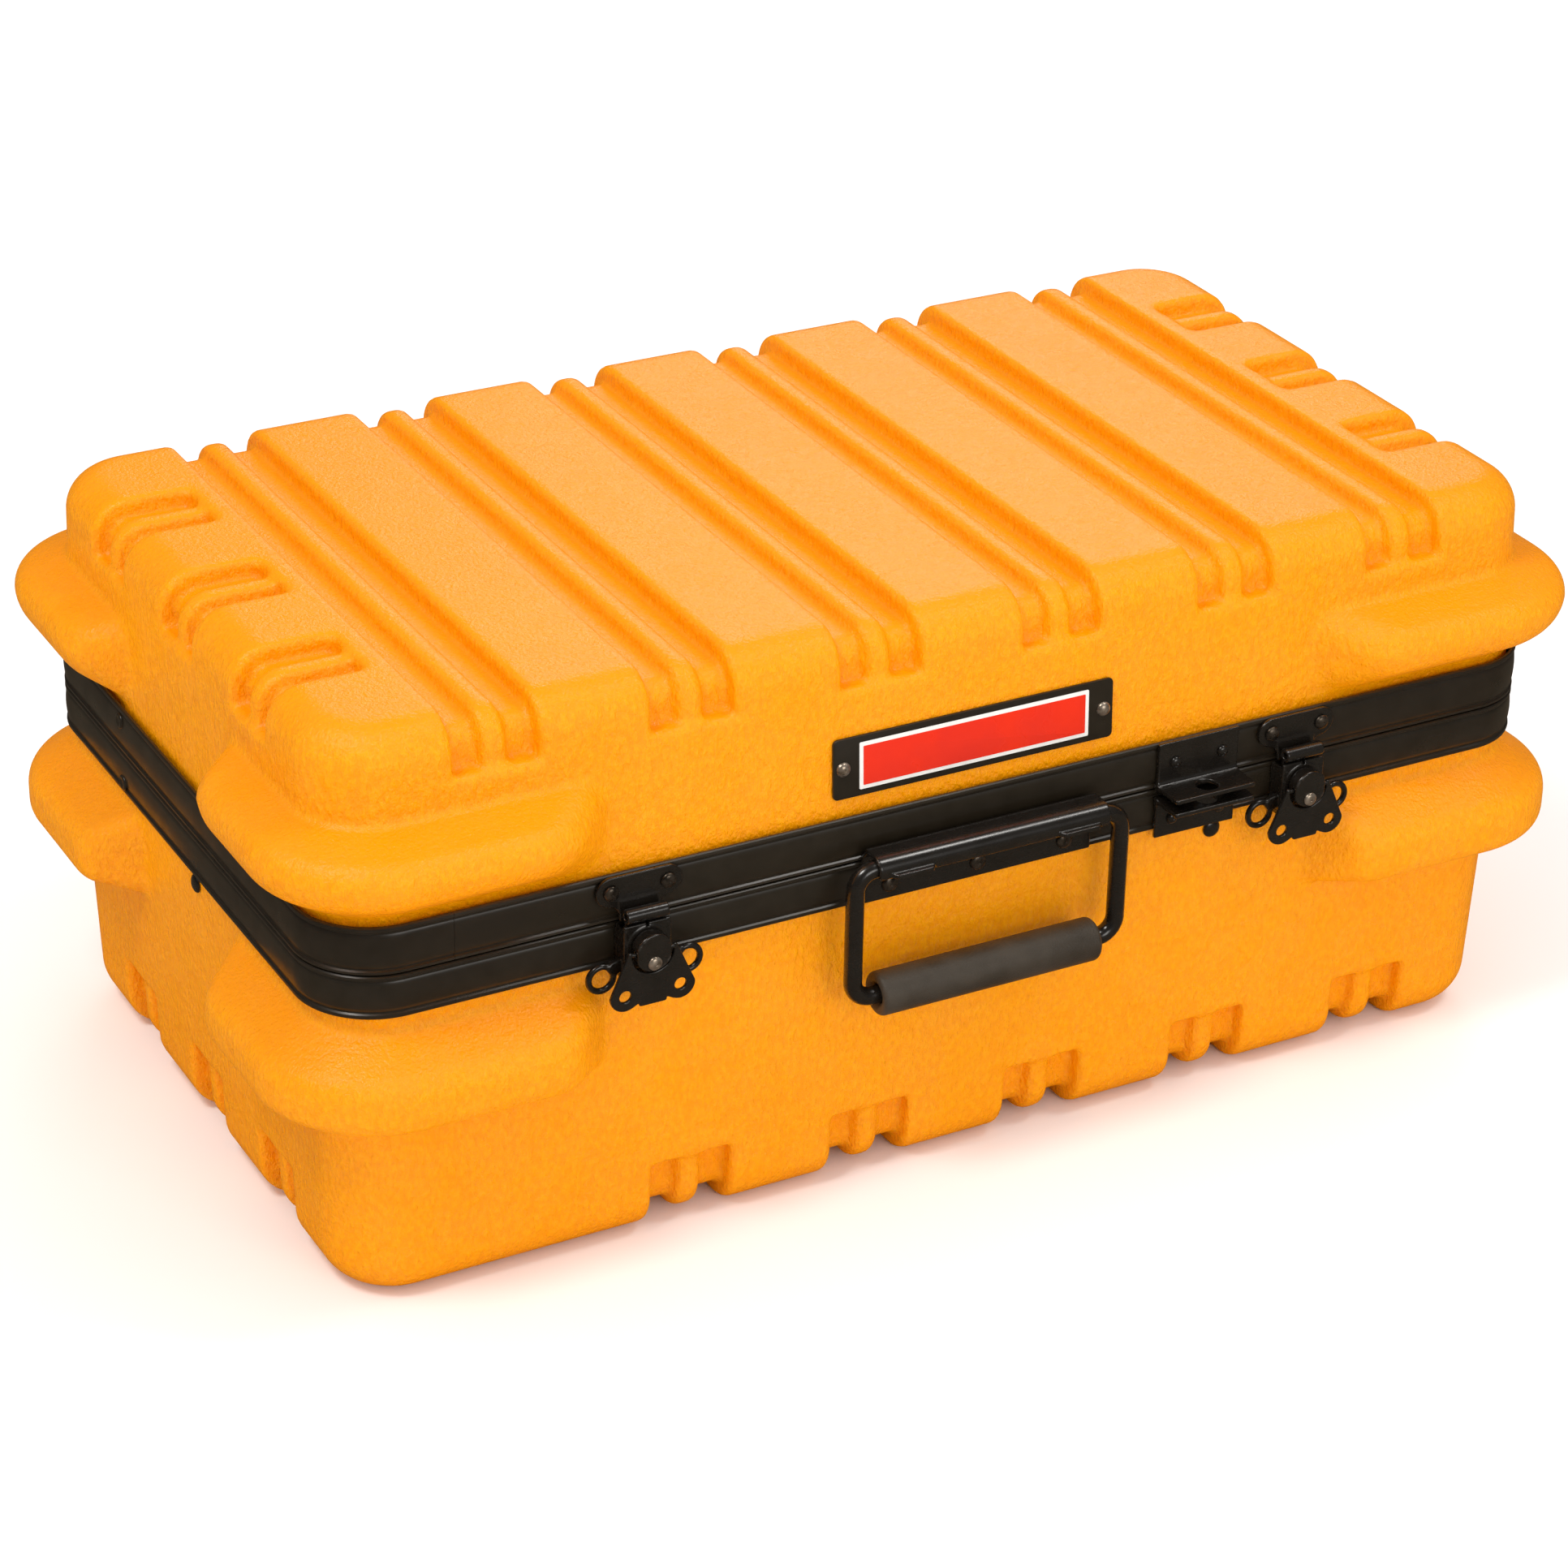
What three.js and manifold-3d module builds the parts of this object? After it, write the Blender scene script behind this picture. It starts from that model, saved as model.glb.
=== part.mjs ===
// Hard equipment case: two ribbed plastic shells, a black aluminium valance on each rim,
// two rotary draw latches, a drop handle, a padlock hasp and two rear hinges.
// Millimetres. +X runs along the front to the right, the front faces -Y, +Z is up.
// The origin is the centre of the underside. Everything between the shells is placed
// from the parting plane, where the two valances meet.
import * as THREE from "three";
import { mergeVertices } from "three/addons/utils/BufferGeometryUtils.js";
import Module from "manifold-3d";

const wasm = await Module();
wasm.setup();

// ---------------------------------------------------------------- driving dimensions
const BASE_DEPTH = 146; // underside to parting plane
const LID_HEIGHT = 92.3; // parting plane to lid top
const PARTING = BASE_DEPTH;
const GAP = 0.3; // clearance between pieces that touch

const BAND = { halfX: 267, halfY: 148, radius: 31.6, baseHeight: 18, lidHeight: 19.8, skin: 1.6 };
const BAND_FRONT = -BAND.halfY;

const WALL = 3.5;
const SHELL_INSET = 3; // from the valance's outer face to the shell's outer face
const SHELL = {
  halfX: BAND.halfX - SHELL_INSET,
  halfY: BAND.halfY - SHELL_INSET,
  radius: BAND.radius - SHELL_INSET,
  edge: 15, // rounding where the walls meet the flat top or underside
};
const LID_DRAFT = { x: 0.8, y: 5 }; // how far the walls lean in over the full height
const BASE_DRAFT = { x: 6, y: 2.5 };

const RIB = {
  pitch: 78.3, // grooves across the lid, front to back
  count: 6,
  halfWidth: 17, // half the groove
  beadHalf: 6, // half the raised bead along its middle
  depth: 7.5,
  beadDepth: 2.2,
};
const NOTCH = { pitch: 71.5, count: 3, halfWidth: 15.5, beadHalf: 5, innerX: 223 };
const LID_GROOVE_END = 69.5; // above the parting plane
const BASE_GROOVE_END = 114; // below the parting plane

const BLANK_CORNER_Y = 105; // where the base's front-left groove stops short
const RIM_LIFT = 5.4; // the shells' rims stop this far from the parting plane
const FAR = 400; // reaches past every face of the case

const BUMPER = {
  proud: 17, // beyond the valance's outer face
  from: 33, // distances from the parting plane
  to: 60,
  edge: 7,
  frontFull: 176, // |x| where the front arm reaches its full depth
  frontFoot: 154,
  sideFull: 65, // |y| where the side arm reaches its full depth
  sideFoot: 49,
};

const RIVET = { head: 3.2, smallHead: 2.4, shank: 1.2, height: 1.7 };
const PLATE = 1.8; // sheet steel of the hardware

const LATCH_X = 144;
const HANDLE = { pivotY: -158.5, pivotZ: 2, drop: 54.8, halfSpan: 58.3, bend: 8, wire: 3.6 };
const GRIP = { radius: 8.75, halfLength: 48.5 };
const HASP_X = 98.4;
const HINGE = { y: BAND.halfY + GAP + 2.9, knuckle: 2.9, pin: 1.4, pinHead: 2.3, halfWidth: 30 };

// ---------------------------------------------------------------- materials
function material(color, roughness, metalness) {
  return new THREE.MeshStandardMaterial({ color, roughness, metalness });
}
const yellowPlastic = material(0xf79b0e, 0.45, 0);
const blackAluminium = material(0x2b2620, 0.38, 0.8);
const blackSteel = material(0x1c1a18, 0.3, 0.6);
const gunmetal = material(0x5b5752, 0.28, 0.9);
const gripVinyl = material(0x24221f, 0.7, 0);
const labelRed = material(0xc8281e, 0.35, 0);

// ---------------------------------------------------------------- solids
// A closed three.js geometry as a solid that can be joined and cut.
function solid(geometry) {
  const bare = geometry.clone();
  bare.deleteAttribute("normal");
  bare.deleteAttribute("uv");
  const merged = mergeVertices(bare, 1e-3);
  return new wasm.Manifold(
    new wasm.Mesh({
      numProp: 3,
      vertProperties: merged.attributes.position.array,
      triVerts: new Uint32Array(merged.index.array),
    }),
  );
}

function geometryOf(manifold) {
  const { vertProperties, triVerts } = manifold.getMesh();
  const geometry = new THREE.BufferGeometry();
  geometry.setAttribute("position", new THREE.BufferAttribute(new Float32Array(vertProperties), 3));
  geometry.setIndex(new THREE.BufferAttribute(new Uint32Array(triVerts), 1));
  return geometry;
}

function union(parts) {
  return parts.reduce((joined, next) => joined.add(next));
}

// A box from its lowest to its highest corner.
function box(low, high) {
  const size = high.map((value, axis) => value - low[axis]);
  const centre = high.map((value, axis) => (value + low[axis]) / 2);
  return solid(new THREE.BoxGeometry(...size).translate(...centre));
}

// A round bar along one axis, from one coordinate to another.
function bar(axis, radius, from, to, centre, segments = 20) {
  const geometry = new THREE.CylinderGeometry(radius, radius, to - from, segments);
  const middle = (from + to) / 2;
  if (axis === "x") geometry.rotateZ(Math.PI / 2).translate(middle, centre[0], centre[1]);
  if (axis === "y") geometry.translate(centre[0], middle, centre[1]);
  if (axis === "z") geometry.rotateX(Math.PI / 2).translate(centre[0], centre[1], middle);
  return solid(geometry);
}

// A flat outline in x and z, given thickness along y.
function plateFacingFront(shape, yFront, yBack, curveSegments = 6) {
  const options = { depth: yBack - yFront, bevelEnabled: false, curveSegments };
  const geometry = new THREE.ExtrudeGeometry(shape, options);
  return solid(geometry.rotateX(Math.PI / 2).translate(0, yBack, 0));
}

// A flat outline in y and z, given length along x.
function profileAlongX(shape, fromX, toX, curveSegments = 6) {
  const options = { depth: toX - fromX, bevelEnabled: false, curveSegments };
  const geometry = new THREE.ExtrudeGeometry(shape, options);
  return solid(geometry.rotateX(Math.PI / 2).rotateZ(Math.PI / 2).translate(fromX, 0, 0));
}

// A flat outline in x and y, given height along z.
function slabUpwards(shape, fromZ, toZ, curveSegments = 6) {
  const options = { depth: toZ - fromZ, bevelEnabled: false, curveSegments };
  return solid(new THREE.ExtrudeGeometry(shape, options).translate(0, 0, fromZ));
}

function roundedRectangle(halfX, halfY, radius) {
  const shape = new THREE.Shape();
  const centreX = halfX - radius;
  const centreY = halfY - radius;
  shape.absarc(centreX, centreY, radius, 0, Math.PI / 2);
  shape.absarc(-centreX, centreY, radius, Math.PI / 2, Math.PI);
  shape.absarc(-centreX, -centreY, radius, Math.PI, 1.5 * Math.PI);
  shape.absarc(centreX, -centreY, radius, 1.5 * Math.PI, 2 * Math.PI);
  shape.closePath();
  return shape;
}

function polygon(points) {
  return new THREE.Shape(points.map(([a, b]) => new THREE.Vector2(a, b)));
}

// ---------------------------------------------------------------- shells
// A drafted block with rounded corners and a rounded upper edge. It stands on z = 0.
// Each step of detail adds a facet to the upper edge's rounding and to the corners.
function mouldedBlock(height, draft, inset, detail = 2) {
  const edge = Math.max(SHELL.edge - inset, WALL);
  const halfX = SHELL.halfX - inset;
  const halfY = SHELL.halfY - inset;
  const geometry = new THREE.ExtrudeGeometry(roundedRectangle(halfX, halfY, SHELL.radius - inset), {
    depth: height - inset - edge,
    bevelThickness: edge,
    bevelSize: edge,
    bevelOffset: -edge,
    bevelSegments: detail,
    curveSegments: 2 + detail,
  });
  const position = geometry.attributes.position;
  for (let i = 0; i < position.count; i += 1) {
    const rise = Math.max(position.getZ(i), 0) / height;
    position.setX(i, position.getX(i) * (1 - (draft.x * rise) / halfX));
    position.setY(i, position.getY(i) * (1 - (draft.y * rise) / halfY));
  }
  return solid(geometry);
}

function centredRow(count, pitch) {
  return Array.from({ length: count }, (_, i) => (i - (count - 1) / 2) * pitch);
}

// The spans from one distance to another on both sides of a middle line.
function spansBeside(middle, from, to) {
  if (from === 0) return [[middle - to, middle + to]];
  return [
    [middle - to, middle - from],
    [middle + from, middle + to],
  ];
}

// Upright strips over the whole height along every groove. On a shell with a blank
// corner, the first groove stops before it reaches the rear wall.
function grooveStrips(from, to, end, blankCorner) {
  const strips = centredRow(RIB.count, RIB.pitch).flatMap((x, index) => {
    const farY = blankCorner && index === 0 ? BLANK_CORNER_Y : FAR;
    return spansBeside(x, from, to).map(([low, high]) => box([low, -FAR, end], [high, farY, FAR]));
  });
  return union(strips);
}

// The same for the short notches in the two end walls.
function notchStrips(from, to, innerX, end) {
  const strips = centredRow(NOTCH.count, NOTCH.pitch).flatMap((y) =>
    spansBeside(y, from, to).flatMap(([low, high]) => [
      box([innerX, low, end], [FAR, high, FAR]),
      box([-FAR, low, end], [-innerX, high, FAR]),
    ]),
  );
  return union(strips);
}

// A block with its grooves and notches: two channels beside a lower bead in each.
function groovedBlock({ height, draft, end, blankCorner }) {
  const channels = grooveStrips(RIB.beadHalf, RIB.halfWidth, end, blankCorner)
    .add(notchStrips(NOTCH.beadHalf, NOTCH.halfWidth, NOTCH.innerX, end))
    .subtract(mouldedBlock(height, draft, RIB.depth));
  const beads = grooveStrips(0, RIB.beadHalf + 0.1, end, blankCorner)
    .add(notchStrips(0, NOTCH.beadHalf + 0.1, NOTCH.innerX, end))
    .subtract(mouldedBlock(height, draft, RIB.beadDepth));
  return mouldedBlock(height, draft, 0, 3).subtract(channels).subtract(beads);
}

// The hollow inside: a block that steps inwards behind every groove and notch.
function hollow({ height, draft, end, blankCorner }) {
  const behind = grooveStrips(0, RIB.halfWidth + WALL, end - WALL, blankCorner)
    .add(notchStrips(0, NOTCH.halfWidth + WALL, NOTCH.innerX - WALL, end - WALL))
    .subtract(mouldedBlock(height, draft, RIB.depth + WALL, 1));
  return mouldedBlock(height, draft, WALL, 1).subtract(behind);
}

// The outline of one corner bumper seen from above, with a slanted end on each arm.
function bumperCorner(inset) {
  const outX = BAND.halfX + BUMPER.proud;
  const outY = BAND.halfY + BUMPER.proud;
  const wallX = SHELL.halfX - BUMPER.proud;
  const wallY = SHELL.halfY - BUMPER.proud;
  return polygon([
    [wallX, wallY],
    [BUMPER.frontFoot + inset, wallY],
    [BUMPER.frontFoot + inset, SHELL.halfY],
    [BUMPER.frontFull + inset, outY],
    [BUMPER.frontFull + inset, FAR],
    [FAR, FAR],
    [FAR, BUMPER.sideFull + inset],
    [outX, BUMPER.sideFull + inset],
    [SHELL.halfX, BUMPER.sideFoot + inset],
    [wallX, BUMPER.sideFoot + inset],
  ]);
}

// The four corner bumpers: a proud ring, kept only round the corners.
function bumpers(inset) {
  const edge = Math.max(BUMPER.edge - inset, 2);
  const proud = BUMPER.proud - inset;
  const outline = roundedRectangle(BAND.halfX + proud, BAND.halfY + proud, BAND.radius + proud);
  const ring = new THREE.ExtrudeGeometry(outline, {
    depth: BUMPER.to - BUMPER.from - 2 * edge - 2 * inset,
    bevelThickness: edge,
    bevelSize: edge,
    bevelOffset: -edge,
    bevelSegments: inset > 0 ? 1 : 2,
    curveSegments: inset > 0 ? 3 : 6,
  });
  const corner = slabUpwards(bumperCorner(inset), 0, FAR);
  const rightPair = corner.add(corner.mirror([0, 1, 0]));
  const corners = rightPair.add(rightPair.mirror([1, 0, 0]));
  return solid(ring.translate(0, 0, BUMPER.from + edge + inset)).intersect(corners);
}

// One shell with its rim towards z = 0 and its ribbed face upwards.
function shell(form) {
  const outside = groovedBlock(form).add(bumpers(0));
  const inside = hollow(form).add(bumpers(WALL));
  return outside.subtract(inside).intersect(box([-FAR, -FAR, RIM_LIFT], [FAR, FAR, FAR]));
}

function lidShell() {
  return shell({ height: LID_HEIGHT, draft: LID_DRAFT, end: LID_GROOVE_END, blankCorner: false });
}

// The base is the same kind of shell turned over about X, so its rear becomes the front.
function baseShell() {
  const form = { height: BASE_DEPTH, draft: BASE_DRAFT, end: BASE_GROOVE_END, blankCorner: true };
  return shell(form).rotate([180, 0, 0]);
}

// ---------------------------------------------------------------- valances
// A ring that follows the rim, from one depth to another behind its outer face.
function rimRing(outerInset, innerInset, fromZ, toZ) {
  const outline = (inset) =>
    roundedRectangle(BAND.halfX - inset, BAND.halfY - inset, BAND.radius - inset);
  const outer = slabUpwards(outline(outerInset), fromZ, toZ, 5);
  const inner = slabUpwards(outline(innerInset), fromZ - 1, toZ + 1, 5);
  return outer.subtract(inner);
}

const CHANNEL = { web: 4.8, innerFrom: 8.7, innerTo: 10.2, innerDrop: 4 };
const TONGUE = { from: 3.6, to: 5, height: 2.4, slack: 1 };

// An outer leg, a web on the parting plane and an inner leg that grips the shell's rim.
function valanceChannel(height) {
  const web = rimRing(0, CHANNEL.innerTo, GAP, CHANNEL.web);
  const outerLeg = rimRing(0, BAND.skin, GAP, height);
  const innerLeg = rimRing(CHANNEL.innerFrom, CHANNEL.innerTo, GAP, height - CHANNEL.innerDrop);
  return web.add(outerLeg).add(innerLeg);
}

function lidValance() {
  const { from, to, height, slack } = TONGUE;
  const groove = rimRing(from - slack, to + slack, -slack, height + slack);
  return valanceChannel(BAND.lidHeight).subtract(groove);
}

function baseValance() {
  const channel = valanceChannel(BAND.baseHeight).mirror([0, 0, 1]);
  const tongue = rimRing(TONGUE.from, TONGUE.to, -GAP - 1, TONGUE.height);
  return channel.add(tongue);
}

// ---------------------------------------------------------------- fasteners
// A domed rivet along +Y. Its head starts at y = 0 and its shank reaches back by grip.
function rivetGeometry(head, height, grip, shank) {
  const profile = [
    [0, -grip],
    [shank, -grip],
    [shank, 0],
    [head, 0],
    [head * 0.75, height * 0.7],
    [0, height],
  ].map(([radius, along]) => new THREE.Vector2(radius, along));
  return new THREE.LatheGeometry(profile, 10);
}

// Turns a rivet made along +Y so that its head points the way asked for.
const HEAD_TO = {
  front: (geometry) => geometry.rotateX(Math.PI),
  rear: (geometry) => geometry,
  left: (geometry) => geometry.rotateZ(Math.PI / 2),
};

const SEAT = 0.1; // a rivet's head stands this far off the face it holds

// A hole for a rivet's shank through a plate on the front or the rear face.
function rivetHole(x, z, y) {
  return bar("y", RIVET.shank + GAP, y - 4, y + 4, [x, z], 8);
}

// ---------------------------------------------------------------- assembly
const model = new THREE.Group();
const assembly = new THREE.Group(); // its z = 0 is the parting plane
assembly.position.z = PARTING;
model.add(assembly);

function add(name, piece, pieceMaterial, parent = assembly) {
  const geometry = piece.isBufferGeometry ? piece : geometryOf(piece);
  const mesh = new THREE.Mesh(geometry, pieceMaterial);
  mesh.name = name;
  parent.add(mesh);
  return mesh;
}

function addRivet(name, towards, place, { parent, head = RIVET.head, grip = PLATE / 3 } = {}) {
  const geometry = HEAD_TO[towards](rivetGeometry(head, RIVET.height, grip, RIVET.shank));
  add(name, geometry, gunmetal, parent).position.set(...place);
}

add("lid_shell", lidShell(), yellowPlastic);
add("base_shell", baseShell(), yellowPlastic);
add("lid_valance", lidValance(), blackAluminium);
add("base_valance", baseValance(), blackAluminium);

// ---------------------------------------------------------------- latches
const LATCH = {
  hubZ: -8, // the hub's turning axis, below the parting plane
  crank: 4.2, // the crank pin's offset from that axis
  halfWidth: 9.5,
  faceY: -156.6, // front of the housing
  faceTopZ: 1.9,
  floorZ: -21, // bottom of the housing
  backFloorZ: -17.5, // bottom of its back, on the valance
  sheet: 1.5,
  collarRadius: 9,
  hubRadius: 7.6,
  hubFlat: 6.9,
  stemRadius: 6,
  hubBackY: -157.5,
  hubFrontY: -162.6,
  pinRadius: 1.1,
  pinHead: 2.4,
  clawFrontY: -154,
  clawBackY: -152.2,
  wingFrontY: -161.4,
  wingBackY: -159.6,
};
const KEEPER = { rivetX: 11.6, z: 13.6, half: 6, lipHalf: 8, lipZ: 1.2, lipOut: 2.6, bendZ: 9.5 };
const EAR = { x: 17.8, z: -18.7, outer: 6.3, hole: 3.8, frontY: -155.2, backY: -152.8 };
const HOUSING_RIVET = { x: 4.2, z: -8.5 }; // behind the claw
const CLAW = { halfWidth: 7.7, bottomZ: -19.5, roll: 2.9, rollZ: 5.3, rollHalf: 8.5 };
const WING = {
  lobeX: 11.4, // finger-hole lobes, from the hub's axis
  lobeZ: -16.2,
  lobeRadius: 6.3,
  hole: 2.4,
  tipX: 8.9,
  tipRadius: 1.5,
  notch: 8.7,
  nub: 0.85, // radius of the pivot nubs
  nubFrom: 4.5,
};
const PLATE_BACK = BAND_FRONT - GAP; // back face of everything fixed to the front valances
const WING_PIVOT_Y = (LATCH.wingFrontY + LATCH.wingBackY) / 2;

// The catch plate on the lid's valance: a stadium whose lip leans out behind the claw.
function latchKeeper() {
  const outline = new THREE.Shape();
  outline.absarc(KEEPER.rivetX, KEEPER.z, KEEPER.half, -Math.PI / 2, Math.PI / 2);
  outline.absarc(-KEEPER.rivetX, KEEPER.z, KEEPER.half, Math.PI / 2, 1.5 * Math.PI);
  const plate = plateFacingFront(outline, PLATE_BACK - PLATE, PLATE_BACK);
  const { bendZ, lipZ, lipOut, lipHalf } = KEEPER;
  const lipSection = polygon([
    [PLATE_BACK, bendZ],
    [PLATE_BACK - PLATE, bendZ],
    [PLATE_BACK - lipOut, lipZ + GAP],
    [PLATE_BACK - lipOut / 2, lipZ],
    [PLATE_BACK, (bendZ + lipZ) / 2],
  ]);
  const lip = profileAlongX(lipSection, -lipHalf, lipHalf);
  const holes = [-1, 1].map((side) => rivetHole(side * KEEPER.rivetX, KEEPER.z, PLATE_BACK));
  return plate.add(lip).subtract(union(holes));
}

// The housing stands off the base's valance: a back, two side walls, a front plate with
// a round collar for the hub, and a ring ear on each side.
function latchHousing() {
  const { halfWidth, faceY, faceTopZ, floorZ, sheet, hubZ } = LATCH;
  const back = box([-halfWidth, PLATE_BACK - sheet, LATCH.backFloorZ], [halfWidth, PLATE_BACK, -sheet]);
  const wall = box([halfWidth - sheet, faceY, floorZ], [halfWidth, PLATE_BACK, 0]);
  const front = box([-halfWidth, faceY, floorZ], [halfWidth, faceY + sheet, faceTopZ]);
  const collar = bar("y", LATCH.collarRadius, faceY - GAP, faceY + sheet, [0, hubZ], 20);
  const ring = bar("y", EAR.outer, EAR.frontY, EAR.backY, [EAR.x, EAR.z], 16);
  const neck = box([halfWidth - 1, EAR.frontY, floorZ], [EAR.x - 2, EAR.backY, EAR.z + 4.5]);
  const earHole = bar("y", EAR.hole, EAR.frontY - 1, EAR.backY + 1, [EAR.x, EAR.z], 12);
  const side = wall.add(ring).add(neck).subtract(earHole);
  const cuts = [
    bar("y", LATCH.stemRadius + GAP, faceY - 1, faceY + sheet + 1, [0, hubZ], 20),
    box([-0.5, faceY - 1, faceTopZ - 1], [0.5, faceY + sheet + 1, faceTopZ + 1]),
    rivetHole(HOUSING_RIVET.x, HOUSING_RIVET.z, PLATE_BACK),
    rivetHole(-HOUSING_RIVET.x, HOUSING_RIVET.z, PLATE_BACK),
  ];
  const shape = union([back, front, collar, side, side.mirror([1, 0, 0])]);
  return shape.subtract(union(cuts));
}

// The claw slides up and down inside the housing. Its head is rolled over into a barrel,
// and the crank pin works in its cross slot.
function latchClaw() {
  const { clawFrontY, clawBackY, hubZ, crank, pinRadius } = LATCH;
  const { halfWidth, bottomZ, roll, rollZ, rollHalf } = CLAW;
  const rollAxis = [clawBackY - roll, rollZ];
  const plate = box([-halfWidth, clawFrontY, bottomZ], [halfWidth, clawBackY, rollZ]);
  const barrel = bar("x", roll, -rollHalf, rollHalf, rollAxis, 16);
  const bore = bar("x", roll - LATCH.sheet, -rollHalf - 1, rollHalf + 1, rollAxis, 12);
  const slotHalfX = crank + pinRadius + 0.6;
  const slotHalfZ = pinRadius + 1.3; // room for the pin's circular path
  const pinZ = hubZ - crank;
  const slotLow = [-slotHalfX, clawFrontY - 1, pinZ - slotHalfZ];
  const slotHigh = [slotHalfX, clawBackY + 1, pinZ + slotHalfZ];
  return plate.add(barrel).subtract(bore).subtract(box(slotLow, slotHigh));
}

// The hub: a disc with two flats in front of the housing, on a stem through its collar.
function latchHub() {
  const { hubRadius, hubFlat, hubBackY, hubFrontY, hubZ, faceY, pinRadius } = LATCH;
  const disc = bar("y", hubRadius, hubFrontY, hubBackY, [0, hubZ], 24);
  const flatsLow = [-hubFlat, hubFrontY - 1, hubZ - hubRadius];
  const flats = box(flatsLow, [hubFlat, hubBackY + 1, hubZ + hubRadius]);
  const stem = bar("y", LATCH.stemRadius, hubBackY - 1, faceY + LATCH.sheet, [0, hubZ], 16);
  const nubBore = bar("x", WING.nub + GAP, -hubRadius, hubRadius, [WING_PIVOT_Y, hubZ], 12);
  const pinHole = [0, hubZ - LATCH.crank];
  const pinBore = bar("y", pinRadius + GAP, hubFrontY - 1, faceY + LATCH.sheet + 1, pinHole, 12);
  return disc.intersect(flats).add(stem).subtract(nubBore).subtract(pinBore);
}

// The folding wing: two lobes with finger holes, hung from the hub's flats on two nubs.
function latchWing() {
  const { lobeX, lobeZ, lobeRadius, tipX, tipRadius, notch } = WING;
  const outline = new THREE.Shape();
  outline.absarc(tipX, 0, tipRadius, 0, Math.PI);
  outline.absarc(0, 0, notch, -0.2, -Math.PI + 0.2, true);
  outline.absarc(-tipX, 0, tipRadius, 0, Math.PI);
  outline.absarc(-lobeX, lobeZ, lobeRadius, 0.9 * Math.PI, 1.65 * Math.PI);
  outline.absarc(lobeX, lobeZ, lobeRadius, 1.35 * Math.PI, 2.1 * Math.PI);
  for (const side of [-1, 1]) {
    const hole = new THREE.Path();
    hole.absarc(side * lobeX, lobeZ, WING.hole, 0, 2 * Math.PI, true);
    outline.holes.push(hole);
  }
  const plate = plateFacingFront(outline, LATCH.wingFrontY, LATCH.wingBackY, 5);
  const nub = bar("x", WING.nub, WING.nubFrom, tipX, [WING_PIVOT_Y, 0], 10);
  const shape = plate.add(nub).add(nub.mirror([1, 0, 0]));
  return shape.translate([0, 0, LATCH.hubZ]);
}

function addLatch(side, x) {
  const latch = new THREE.Group();
  latch.position.x = x;
  assembly.add(latch);
  add(`latch_keeper_${side}`, latchKeeper(), blackSteel, latch);
  add(`latch_housing_${side}`, latchHousing(), blackSteel, latch);
  add(`latch_claw_${side}`, latchClaw(), blackSteel, latch);
  add(`latch_hub_${side}`, latchHub(), blackSteel, latch);
  add(`latch_wing_${side}`, latchWing(), blackSteel, latch);
  const pinLength = LATCH.clawBackY - LATCH.hubFrontY - 2 * GAP;
  const crankPin = rivetGeometry(LATCH.pinHead, RIVET.height, pinLength, LATCH.pinRadius).rotateX(Math.PI);
  const pinPlace = [0, LATCH.hubFrontY - SEAT, LATCH.hubZ - LATCH.crank];
  add(`latch_crank_pin_${side}`, crankPin, gunmetal, latch).position.set(...pinPlace);
  const keeperFace = PLATE_BACK - PLATE - SEAT;
  const housingFace = PLATE_BACK - LATCH.sheet - SEAT;
  for (const [hand, sign] of [["a", -1], ["b", 1]]) {
    const keeperPlace = [sign * KEEPER.rivetX, keeperFace, KEEPER.z];
    addRivet(`keeper_rivet_${side}_${hand}`, "front", keeperPlace, { parent: latch });
    const housingPlace = [sign * HOUSING_RIVET.x, housingFace, HOUSING_RIVET.z];
    addRivet(`housing_rivet_${side}_${hand}`, "front", housingPlace, { parent: latch });
  }
}
addLatch("left", -LATCH_X);
addLatch("right", LATCH_X);

// ---------------------------------------------------------------- handle
const BRACKET = {
  halfLength: 50.5,
  sheet: 1.5,
  bottomZ: -17,
  rivetX: 38.5,
  rivetZ: -11.3,
  joggle: 4, // how far forward of the valance the sheet reaches the roll's height
  rollEnd: 1.2 * Math.PI, // where the roll stops, turning down from its top
};
const LEDGE = { from: 27, to: 46, chamfer: 2, out: 2.4, topZ: 1.6, bottomZ: -0.2 };

// A ledge pressed out of the roll's front edge; its ends are slanted.
function bracketLedge() {
  const { from, to, chamfer, out, topZ, bottomZ } = LEDGE;
  const face = HANDLE.pivotY - HANDLE.wire - BRACKET.sheet;
  const outline = polygon([
    [from, face],
    [from + chamfer, face - out],
    [to - chamfer, face - out],
    [to, face],
  ]);
  return slabUpwards(outline, bottomZ, topZ);
}

// The bracket lies on the base's valance and is rolled forwards over the handle's wire.
function handleBracket() {
  const { pivotY, pivotZ, wire } = HANDLE;
  const { halfLength, sheet, bottomZ, rivetX, rivetZ } = BRACKET;
  const innerRoll = wire + GAP;
  const outerRoll = innerRoll + sheet;
  const { joggle, rollEnd } = BRACKET;
  const section = new THREE.Shape();
  section.moveTo(PLATE_BACK, bottomZ);
  section.lineTo(PLATE_BACK, pivotZ + wire);
  section.lineTo(PLATE_BACK - joggle, pivotZ + outerRoll);
  section.absarc(pivotY, pivotZ, outerRoll, Math.PI / 2, rollEnd);
  section.absarc(pivotY, pivotZ, innerRoll, rollEnd, Math.PI / 2, true);
  section.lineTo(PLATE_BACK - joggle, pivotZ + innerRoll);
  section.lineTo(PLATE_BACK - sheet, pivotZ + wire - sheet / 2);
  section.lineTo(PLATE_BACK - sheet, bottomZ);
  const plate = profileAlongX(section, -halfLength, halfLength, 8);
  const holes = [-rivetX, 0, rivetX].map((x) => rivetHole(x, rivetZ, PLATE_BACK));
  const ledge = bracketLedge();
  return plate.add(ledge).add(ledge.mirror([1, 0, 0])).subtract(union(holes));
}

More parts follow.
